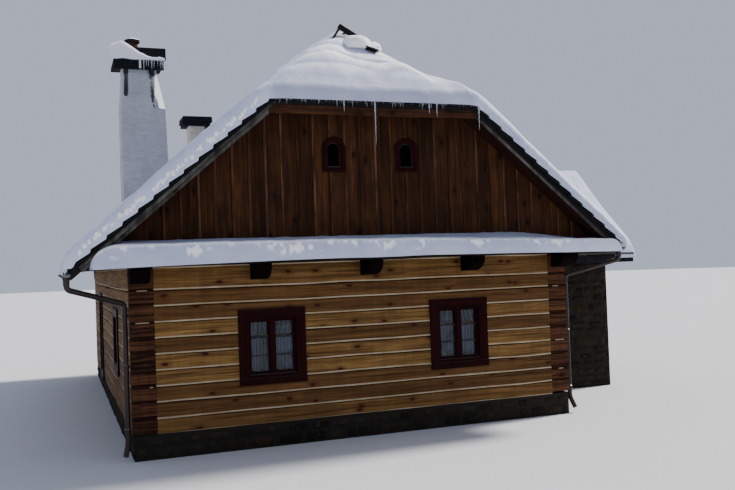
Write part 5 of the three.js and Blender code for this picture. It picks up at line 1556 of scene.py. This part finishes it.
class ChaletSnowfall(bpy.types.Operator):
    """Snow on the main roof, the wing, the pent roofs and the large chimney's cap"""

    bl_idname = "chalet.snowfall"
    bl_label = "Snow"

    def execute(self, context):
        settings = context.scene.chalet_snow
        course = context.scene.chalet_roof.course
        pieces = {"roof_snow_blanket": (self.main_roof(settings, course), ["roof_snow"]),
                  "wing_snow_blanket": (self.wing_roof(settings), [])}
        for end in ("front", "back"):
            pieces[f"{end}_pent_snow_bank"] = (self.pent_bank(settings).at_end(end), [f"{end}_pent_snow"])
        pieces["chimney_snow_bank"] = (self.chimney_bank(), ["chimney_snow"])
        pieces["snow_clods"] = (self.clods(settings), [])
        snow = snow_material(settings)
        for name, (made, replaced) in pieces.items():
            made.mesh(name, [snow], "snow", replaced, sharp=80.0)
        return {"FINISHED"}

    def main_roof(self, settings, course):
        """Depth over the roof's planes, with round ridges and brows. Down the hip the surface is terraced, and at
        each rake its rim sinks along a course and jumps up at the next one's butt. The tone paints light and shade:
        it whitens the terraces' upper edges, the hip's right arris and the right slope, where the light falls, and
        darkens the risers, the hip's lower face and the right rake's face."""
        left, right, back = -EAVES[-1], EAVES[1], LENGTH - VERGE
        marks = np.arange(1, 40) * course / STRETCH
        x, lift_x = lipped(left, right, settings.step, 0.10, 0.17, join([-marks, marks]))
        y, lift_y = lipped(VERGE, back, settings.step, 0.085, 0.11)
        grid_x, grid_y = crossed(x, y)
        flat = columns(grid_x, grid_y, 0.0)
        over_x, over_y = np.clip(grid_x, left, right), np.clip(grid_y, VERGE, back)
        raw = np.minimum(main_top(over_x), hip_top(over_y))
        ridge = soft_min(RIDGE + SLOPE * over_x, RIDGE - SLOPE * over_x, 0.36)
        planes = np.minimum(soft_min(ridge, hip_top(over_y), 0.30), raw)
        arris = main_top(over_x) - hip_top(over_y)
        on_hip = ramp(arris, 0.0, 0.12)
        from_rim = np.minimum.reduce([grid_x - left, right - grid_x, grid_y - VERGE, back - grid_y])
        inner = ramp(from_rim, 0.15, 0.40)

        to_tip = np.hypot(grid_x, np.minimum(np.abs(grid_y - APEX), np.abs(LENGTH - grid_y - APEX)) * 0.6)
        depth = settings.depth * (1 - 0.55 * hump(to_tip, 0.75) + 0.07 * lumps(flat, 0.8, 2001))
        depth -= 0.06 * (ramp(np.abs(grid_x), 2.2, 4.7) + ramp(grid_x, HIP_CORNER, HIP_CORNER + 0.3))
        sunny = hump(arris, 0.38) * ramp(grid_x, 0.0, 0.3) * ramp(grid_x, 1.65, 1.15)
        depth *= 1 - 0.85 * sunny
        down = (RIDGE - raw) * STRETCH / SLOPE
        wavy = down / settings.terrace + 0.9 * noise(flat, 0.5, 2041) + 0.22 * noise(flat, 1.9, 2045)
        share = wavy - np.floor(wavy)
        broken = np.clip(0.55 + 1.3 * noise(flat * (1.0, 1.6, 1.0), 1.25, 2043), 0.0, 1.25)
        tread = np.minimum(share, 5 * (1 - share)) * broken
        depth += (0.012 + 0.19 * ramp(arris, 0.0, 0.55)) * tread * inner + 0.018 * lumps(flat, 3.2, 2011, 2)
        for low, high in (corners("large_chimney"), corners("small_chimney")):
            off = np.hypot(*(np.maximum(np.maximum(low[k] - grid, grid - high[k]), 0.0)
                             for k, grid in enumerate((grid_x, grid_y))))
            depth *= 1 - 0.5 * hump(off, 0.16)

        steps = np.abs(grid_x) * STRETCH / course
        drape_y = np.where(np.abs(grid_x) > HIP_CORNER - 0.02, 0.066 - 0.046 * (steps - np.floor(steps)), 0.0)
        drape_x = np.where(grid_x < 0, 0.10, 0.14)
        lift = lift_x[:, None] * lift_y
        rim = planes + (raw - planes) * (1 - lift) - drape_x * (1 - lift_x)[:, None] - drape_y * (1 - lift_y)
        top = np.maximum(rim + depth * lift, np.where(lift > 0.97, raw + 0.03, rim))
        out = np.sign(grid_y - LENGTH / 2) * (1 - inner) * (1 - lift_y)
        grid_y = grid_y + 0.014 * noise(flat, 3.1, 2031) * out

        # Painted light and shade in the tone: sunlit treads, the right arris and the right slope whiter; risers, the
        # hip's lower face and the right rake's face darker.
        sunlit = ramp(share, 0.32, 0.68) * ramp(share, 0.98, 0.85)
        sunlit = sunlit * ramp(0.4 + 0.6 * broken + 0.6 * noise(flat, 2.4, 2047))
        white = on_hip * inner * (2.05 * sunlit - 0.38) + 0.6 * sunny - 0.33 * on_hip * (1 - inner)
        white = white + ramp(grid_x, HIP_CORNER, HIP_CORNER + 0.4) * np.clip(1.9 * lift_y - 1.1, -0.18, 0.8)
        return snow_sheet(grid_x, grid_y, top, rim, raw + 0.03, ((left - 0.05, right + 0.05),
                          (VERGE - 0.045, back + 0.045)), np.clip(white, -1.0, 1.0))

    def wing_roof(self, settings):
        """The wing's own sheet of snow, deepest over its ridge. Its inner end follows the valley, so that it comes out
        of the main roof's snow."""
        start = (RIDGE - WING_RIDGE) / SLOPE - 0.15
        x, lift_x = lipped(start, WING_VERGE, settings.step, 0.055, 0.10)
        y, lift_y = lipped(WING_EAVE_Y + 0.11, WING_RIDGE_Y + WING_REACH - 0.11, settings.step, 0.06, 0.14)
        grid_x, grid_y = crossed(x, y)
        valley = np.minimum(np.abs(grid_y - WING_RIDGE_Y), HALF - 0.6 - start)
        grid_x = WING_VERGE - (WING_VERGE - grid_x) * (1 - valley / (WING_VERGE - start))
        flat = columns(grid_x, grid_y, 0.0)
        across = np.clip(grid_y - WING_RIDGE_Y, -WING_REACH, WING_REACH)
        planes = soft_min(WING_RIDGE + SLOPE * across, WING_RIDGE - SLOPE * across, 0.12)
        depth = settings.depth * (0.72 + 0.42 * hump(across, 0.7) + 0.08 * lumps(flat, 1.1, 2051))
        depth += 0.008 * lumps(flat, 4.0, 2056)
        hanging = ramp(grid_x, WING_VERGE - 0.60, WING_VERGE - 0.40) * (1 - lift_y)
        lift = lift_x[:, None] * lift_y
        rim = planes - 0.05 * (1 - lift) - 0.11 * hanging
        grid_y = grid_y + 0.10 * hanging * np.sign(across)
        inner = ((start, WING_VERGE + 0.02), (WING_EAVE_Y + 0.14, WING_RIDGE_Y + WING_REACH - 0.14))
        return snow_sheet(grid_x, grid_y, rim + depth * lift, rim, wing_top(grid_y) + 0.03, inner, 0.0 * grid_x)

    def pent_bank(self, settings):
        """A bank carried across the front: an upright face that swells a little, a small round brow whose white rim is
        a painted highlight, and a top that rises to the gable. Towards each tip the heights fall as (1 - t squared) to
        the power 0.6. The tone paints highlights on the clods and the right end, and shade on the face and the top."""
        seed = 2100
        low, high = corners("front_pent_snow")
        x = np.linspace(low[0], high[0] + 0.03, 620)
        t = ramp(np.minimum((x - x[0]) / 0.40, (x[-1] - x) / 0.22), 1.0, 0.0)
        full = 0.06 + 0.94 * (1 - t**2) ** 0.6
        line, level = columns(x, 0.0, 0.0), 0.0 * x
        foot = WALL_TOP + 0.036 - 0.0024 * x**2 + 0.006 * lumps(line, 1.1, seed)
        brow = foot + (settings.pent_depth - 0.0132 * x) * full + 0.008 * lumps(line, 1.4, seed + 3)
        crest = WALL_TOP + 0.42 - 0.06 * np.maximum(x - 2.3, 0.0) ** 2
        crest = brow + np.maximum(crest - brow, 0.02) * full
        front, back, radius = PENT_FRONT - 0.036 + 0.10 * (1 - full) ** 2, GABLE_FACE + 0.03, 0.05 * full
        up, run = np.linspace(0.0, 1.0, 16)[:, None], np.linspace(0.0, 1.0, 11)[:, None]
        turn = np.linspace(0.0, np.pi / 2, 7)[1:-1, None]
        base = columns([[back], [-0.55], [PENT_FRONT - 0.01]],
                       [PENT_BACK - 0.01 + level, WALL_TOP + 0.12 + level, foot + 0.004])
        ring = join([
            base, columns(front - 0.014 * np.sin(np.pi * up), foot + (brow - radius - foot) * up),
            columns(front + radius * (1 - np.cos(turn)), brow - radius * (1 - np.sin(turn))),
            columns(front + radius + (back - front - radius) * run, brow + (crest - brow) * run**0.75)])[::-1]
        rings = columns(x, ring[..., 0], ring[..., 1]).transpose(1, 0, 2)
        above = ramp((rings[..., 2] - foot[:, None]) / np.maximum(brow - foot, 0.01)[:, None])
        near = rings[..., 1] < front[:, None] + 0.06
        fringe = 0.60 + 0.45 * noise(line * (3.5, 0, 0), 1.0, seed + 24)[:, None]
        clods = ramp((above - fringe) * 3.0) * ramp(5.0 * noise(rings * (20.0, 4.0, 12.0), 1.0, seed + 21) + 0.1)
        # Painted light: the clods, the brow's rim and the right end whiter. Painted shade: the face a little darker,
        # the top more.
        light = 1.5 * clods + 1.2 * ramp(above, 0.86, 0.96) + 0.3 * ramp(rings[..., 0], 2.5, 4.0)
        rings[..., 1] -= 0.016 * clods * near
        rings[..., 2] += 0.006 * lumps(rings, 6.0, seed + 12, 2) * (above > 0.5)
        made = Surface()
        made.tube(rings, tone=np.clip(near * light + np.where(near, -0.16, -0.45), -1.0, 1.0))
        return made

    def chimney_bank(self):
        """A wind-packed bank on the cap's left end that leans out, slopes down before the lid and leaves a lumpy strip
        along the front; and a disc of snow on the pot."""
        low, high = corners("large_chimney_cap")
        x, lift_x = lipped(low[0] + 0.01, high[0] - 0.06, 0.035, 0.02, 0.05)
        y, lift_y = lipped(low[1], high[1], 0.035, 0.02, 0.06)
        grid_x, grid_y = crossed(x, y)
        along = ramp(grid_x, low[0], high[0])
        depth = np.interp(along, [0.0, 0.06, 0.18, 0.36, 0.50, 0.64, 1.0], [0.34, 0.36, 0.40, 0.29, 0.15, 0.09, 0.05])
        behind = ramp(grid_y, low[1] + 0.09, low[1] + 0.17) * ramp(grid_x, -3.20, -3.10)
        flat = columns(grid_x, grid_y, 0.0)
        depth = depth * (1 - behind) + 0.06 * behind + (0.02 + 0.02 * along) * lumps(flat, 5.0, 2201)
        high_snow = depth * (lift_x[:, None] * lift_y) ** 0.6
        rim = low[2] + 0.254 + 0.024 * hump(grid_x + 3.47, 0.09)
        lean = 0.30 * ramp(grid_y, low[1] + 0.05, high[1] + 0.05)
        grid_x = grid_x + (1 - along) * (lean - 0.085 * ramp(high_snow, 0.0, 0.36) * (1 - along) ** 4)
        inner = ((low[0] + 0.01, high[0] - 0.01), (low[1] + 0.01, high[1] - 0.01))
        # Painted light: tone 0.6 whitens the snow on the cap.
        made = snow_sheet(grid_x, grid_y, rim + high_snow, rim, rim - 0.006, inner, 0.0 * grid_x + 0.6)
        low, high = corners("chimney_pot")
        mound(made, ((low[0] + high[0]) / 2 + 0.03, (low[1] + high[1]) / 2, high[2] + 0.022), (0.15, 0.15, 0.05), 2210)
        return made

    def clods(self, settings):
        """Lumps beside the ridge's end, and clods that stick out of the snow's face along the left rake, toned white as
        painted highlights.
        """
        made, rng = Surface(), seeded(2240)
        for number, (x, y, low, size) in enumerate(((0.07, 0.42, -0.02, 0.34), (0.40, 0.42, -0.01, 0.19),
                                                    (0.72, 0.52, 0.02, 0.11))):
            z = min(main_top(x), hip_top(y)) + low
            mound(made, (x, y, z), (size, size * 0.9, size * 0.7), 2230 + number)
        for end in ("front", "back"):
            for number, x in enumerate(np.arange(HIP_CORNER + 0.25, EAVES[-1] - 0.05, 0.15)):
                shift = rng.uniform(-0.03, 0.03)
                for part in range(7):
                    along = rng.uniform(-0.075, 0.075)
                    place = -x + shift + along
                    up = settings.depth * rng.uniform(0.36, 0.46) + 0.35 * along
                    size = rng.uniform(0.013, 0.038)
                    centre, facing = np.array([place, VERGE - 0.072, main_top(place) - 0.04 + up]), OUT
                    if end == "back":
                        centre, facing = centre * (1, -1, 1) + (0, LENGTH, 0), -OUT
                    mound(made, centre, (size * 0.9, size * 1.3, size), 2250 + number + 60 * part, facing, 7)
        return made


class ChaletIcicles(bpy.types.Operator):
    """Icicles under the hip's eave, two of them long, and in front of the large chimney's cap"""

    bl_idname = "chalet.icicles"
    bl_label = "Icicles"

    def execute(self, context):
        rng, made = seeded(2300), Surface()
        y, z, count = VERGE - 0.062, HIP_EAVE - 0.005, context.scene.chalet_snow.icicles
        places = np.sort(rng.uniform(-HIP_CORNER + 0.1, HIP_CORNER - 0.05, count))
        for x, long in zip(places, 0.03 + 0.10 * rng.random(count) ** 2.5):
            self.icicle(made, (x, y + rng.uniform(-0.012, 0.008), z), long, 0.003 + 0.03 * long, rng)
        for x, long in ((-0.06, 0.74), (1.86, 0.44), (1.06, 0.24), (0.92, 0.18), (-0.60, 0.18)):
            self.icicle(made, (x, y - 0.004, z), long, 0.017, rng)
        low, high = corners("large_chimney_cap")
        for x in np.linspace(low[0] + 0.66, high[0] - 0.04, 9):
            place = (x + rng.uniform(-0.015, 0.015), low[1] - 0.022, low[2] + 0.245)
            self.icicle(made, place, rng.uniform(0.10, 0.26), rng.uniform(0.010, 0.02), rng)
        made.mesh("hip_icicles", [ice_material()], "snow", sharp=80.0)
        return {"FINISHED"}

    def icicle(self, made, root, long, radius, rng):
        """A drop-shaped taper: radius times (1 - t) to 0.8, with rings that swell and a tip that leans a little."""
        t, turn = np.linspace(0, 1, 8)[:, None], circle(6)
        taper = radius * (0.06 + 0.94 * (1 - t) ** 0.8) * (1 + 0.13 * np.sin(9 * t + rng.uniform(0, 6)))
        lean = rng.uniform(-0.02, 0.02, 2) * long
        made.tube(columns(root[0] + lean[0] * t**2 + taper * np.cos(turn),
                          root[1] + lean[1] * t**2 + taper * np.sin(turn), root[2] - long * t)[::-1])


def rounded_path(points, radius):
    """A polyline whose corners are replaced by quadratic curves that start and end radius from each corner."""
    points = np.asarray(points, float)
    path, t = [points[:1]], np.linspace(0, 1, 9)[:, None]
    for before, corner, after in zip(points[:-2], points[1:-1], points[2:]):
        a, b = (corner + unit_vector(other - corner) * radius for other in (before, after))
        path.append((1 - t) ** 2 * a + 2 * t * (1 - t) * corner + t**2 * b)
    return join([*path, points[-1:]])


def swept(path, radii, binormal):
    """A round tube along a path that lies in the plane across binormal."""
    turn, binormal = circle(18)[:, None], unit_vector(np.asarray(binormal, float))
    across = np.cross(unit_vector(np.gradient(path, axis=0)), binormal)
    radii = np.broadcast_to(radii, (len(path),))[:, None, None]
    return path[:, None] + radii * (np.cos(turn) * binormal + np.sin(turn) * across[:, None])


class ChaletRainpipes(bpy.types.Operator):
    """Gutters with brackets along the eaves, and rain pipes with sleeves and clips at both front corners"""

    bl_idname = "chalet.rainpipes"
    bl_label = "Rain pipes"

    def execute(self, context):
        settings = context.scene.chalet_rainwater
        metal = painted_metal("Brown sheet metal", settings.metal_color, times(settings.metal_color, 2.0), rough=0.35,
                              dusted=0.5)
        dress(metal, "left_gutter", "right_gutter")
        radius, along_x = settings.pipe_radius, (1.0, 0.0, 0.0)
        for name, side in (("left", -1), ("right", 1)):
            made, gutter = Surface(), corners(f"{name}_gutter")
            low, high = corners(f"{name}_downpipe")
            x, y = (gutter[0][0] + gutter[1][0]) / 2, low[1] + radius
            wall_x, wall_y = (high[0] if side < 0 else low[0]) + side * radius, high[1] - radius
            top, foot = high[2], low[2]
            path = rounded_path([(x, y, top), (x, y, top - 0.16), (wall_x, wall_y, top - 0.43),
                                 (wall_x, wall_y, foot + 0.24), (wall_x + side * 0.05, wall_y - 0.09, foot + 0.04)],
                                0.075)
            made.tube(swept(path[:-10], radius, np.cross(UP, (wall_x - x, wall_y - y, 0.0))))
            made.tube(swept(path[-12:], radius, (0.09, side * 0.05, 0.0)))
            for z in (top - 0.62, (top + foot) / 2, foot + 0.42):
                sleeve = columns(wall_x, wall_y, z + np.array([-0.035, -0.03, 0.03, 0.035]))
                made.tube(swept(sleeve, radius + np.array([0.0, 0.006, 0.006, 0.0]), along_x))
                made.level(wall_x, side * (HALF - 0.01), wall_y, z, 0.022, 0.022, 2405)
            mouth = columns(x, y, top + np.array([-0.1, -0.03, 0.02]))
            made.tube(swept(mouth, (radius + 0.004, radius + 0.006, 0.058), along_x))
            made.mesh(f"{name}_rain_pipe", [metal], "pipe_metal", [f"{name}_downpipe"])
            self.brackets(name, side, *gutter, metal)
        return {"FINISHED"}

    def brackets(self, name, side, low, high, metal):
        """Flat iron straps bent round the half-round gutter, one about every 0.8 m, with a tail up to the eave."""
        made, across, turn = Surface(), np.array([0.0, 1.0, 0.0]), np.linspace(0.0, np.pi, 15)
        x, z, reach = (low[0] + high[0]) / 2, high[2], (high[0] - low[0]) / 2
        arc = columns(x - side * reach * 1.04 * np.cos(turn), 0.0, z - reach * 1.04 * np.sin(turn))
        path = join([[(x - side * (reach + 0.07), 0.0, z + 0.06)], arc])
        outward = np.cross(unit_vector(np.gradient(path, axis=0)), across)
        section = np.array([(-0.013, 0.0), (0.013, 0.0), (0.013, 0.006), (-0.013, 0.006)])[::side]
        strap = path[:, None] + section[:, :1] * across + section[:, 1:] * outward[:, None]
        for y in np.arange(low[1] + 0.12, high[1] - 0.05, 0.8):
            made.tube(strap + (0, y, 0))
        made.mesh(f"{name}_gutter_brackets", [metal], "pipe_metal")


class ChaletStageSet(bpy.types.Operator):
    """Plain pale floor, soft light from all round, a soft main light, and the camera at the photograph's angle"""

    bl_idname = "chalet.stage_set"
    bl_label = "Stage"

    def execute(self, context):
        settings = context.scene.chalet_stage
        self.floor(settings.floor_color)
        self.lights(context, settings)
        self.camera(context, settings)
        return {"FINISHED"}

    def floor(self, color):
        """A flat disc of rings: radius grows as the square of the step."""
        steps, places, reach = 14, 64, 140.0
        radii, turn = reach * np.linspace(0.02, 1, steps)[:, None] ** 2, circle(places)
        index = numbered(steps, places)
        made = bpy.data.meshes.new("studio_floor")
        made.from_pydata(columns(radii * np.cos(turn), radii * np.sin(turn), 0.0).reshape(-1, 3), [],
                         join([grid_faces(wrapped(index)), ladder(index[0])]))
        t = Tree.of("Studio floor")
        cloud = t.noise(t.place(), 0.4, 4.0)
        made.materials.append(t.looks(
            t.mix(t.span(cloud, 0.3, 0.7, 0.0, 0.35), color, times(color, 0.93)), t.span(cloud, 0.3, 0.7, 0.8, 0.95),
            t.bump(t.noise(t.place(), 30.0, 3.0), 0.1, 0.002)))
        linked("studio_floor", made)

    def lights(self, context, settings):
        world = bpy.data.worlds.new("Soft surroundings")
        world.use_nodes = True
        background = world.node_tree.nodes["Background"]
        background.inputs["Color"].default_value = (*settings.sky_color, 1.0)
        background.inputs["Strength"].default_value = settings.sky_strength
        context.scene.world = world
        key = bpy.data.lights.new("key_light", "SUN")
        key.energy = settings.key_strength
        key.angle = math.radians(9.0)
        key.color = (1.0, 0.95, 0.88)
        lamp = linked("key_light", key)
        lamp.rotation_mode = "QUATERNION"
        lamp.rotation_quaternion = heading(math.pi - settings.key_azimuth, settings.key_elevation).to_track_quat(
            "Z", "Y")

    def camera(self, context, settings):
        """Right and up are turned by the roll about the way forward, which yaw and pitch give."""
        yaw, roll = settings.camera_yaw, settings.camera_roll
        forward = heading(yaw, settings.camera_pitch)
        level = Vector((math.cos(yaw), -math.sin(yaw), 0.0))
        upright = level.cross(forward)
        right = math.cos(roll) * level + math.sin(roll) * upright
        up = -math.sin(roll) * level + math.cos(roll) * upright
        data = bpy.data.cameras.new("camera")
        data.sensor_width = 36.0
        data.sensor_fit = "HORIZONTAL"
        data.lens = settings.lens
        data.clip_end = 500.0
        camera = linked("camera", data)
        turn = Matrix((right, up, -forward)).transposed().to_4x4()
        camera.matrix_world = Matrix.Translation(Vector(ORIGIN) + Vector(settings.camera_place)) @ turn
        context.scene.camera = camera


def heading(turn, rise):
    """The way of one metre that is turned from +Y towards +X, and rises above the horizon."""
    return Vector((math.sin(turn) * math.cos(rise), math.cos(turn) * math.cos(rise), math.sin(rise)))


GROUPS = {
    "chalet_logs": ChaletLogs, "chalet_gable": ChaletGable, "chalet_roof": ChaletRoof,
    "chalet_window": ChaletWindow, "chalet_stone": ChaletStone, "chalet_chimney": ChaletChimney,
    "chalet_snow": ChaletSnow, "chalet_rainwater": ChaletRainwater, "chalet_stage": ChaletStage,
}
STEPS = (
    ChaletLogWalls, ChaletStonework, ChaletFloors, ChaletBeamEnds, ChaletGables, ChaletVerges, ChaletRoofs,
    ChaletWindows, ChaletDoor, ChaletChimneys, ChaletSnowfall, ChaletIcicles, ChaletRainpipes, ChaletStageSet,
)


class ChaletPanel(bpy.types.Panel):
    """Lists the chalet's settings and the operators that build it"""

    bl_idname = "VIEW3D_PT_chalet"
    bl_label = "Chalet"
    bl_space_type = "VIEW_3D"
    bl_region_type = "UI"
    bl_category = "Chalet"

    def draw(self, context):
        for step in STEPS:
            self.layout.operator(step.bl_idname)
        for key, kind in GROUPS.items():
            box = self.layout.box()
            for name in kind.__annotations__:
                box.prop(getattr(context.scene, key), name)


def register():
    for kind in (*GROUPS.values(), *STEPS, ChaletPanel):
        bpy.utils.register_class(kind)
    for key, kind in GROUPS.items():
        setattr(bpy.types.Scene, key, bpy.props.PointerProperty(type=kind))


def unregister():
    for key in GROUPS:
        delattr(bpy.types.Scene, key)
    for kind in reversed((*GROUPS.values(), *STEPS, ChaletPanel)):
        bpy.utils.unregister_class(kind)


def main():
    register()
    make_groups()
    for step in STEPS:
        family, name = step.bl_idname.split(".")
        getattr(getattr(bpy.ops, family), name)()


if __name__ == "__main__":
    main()
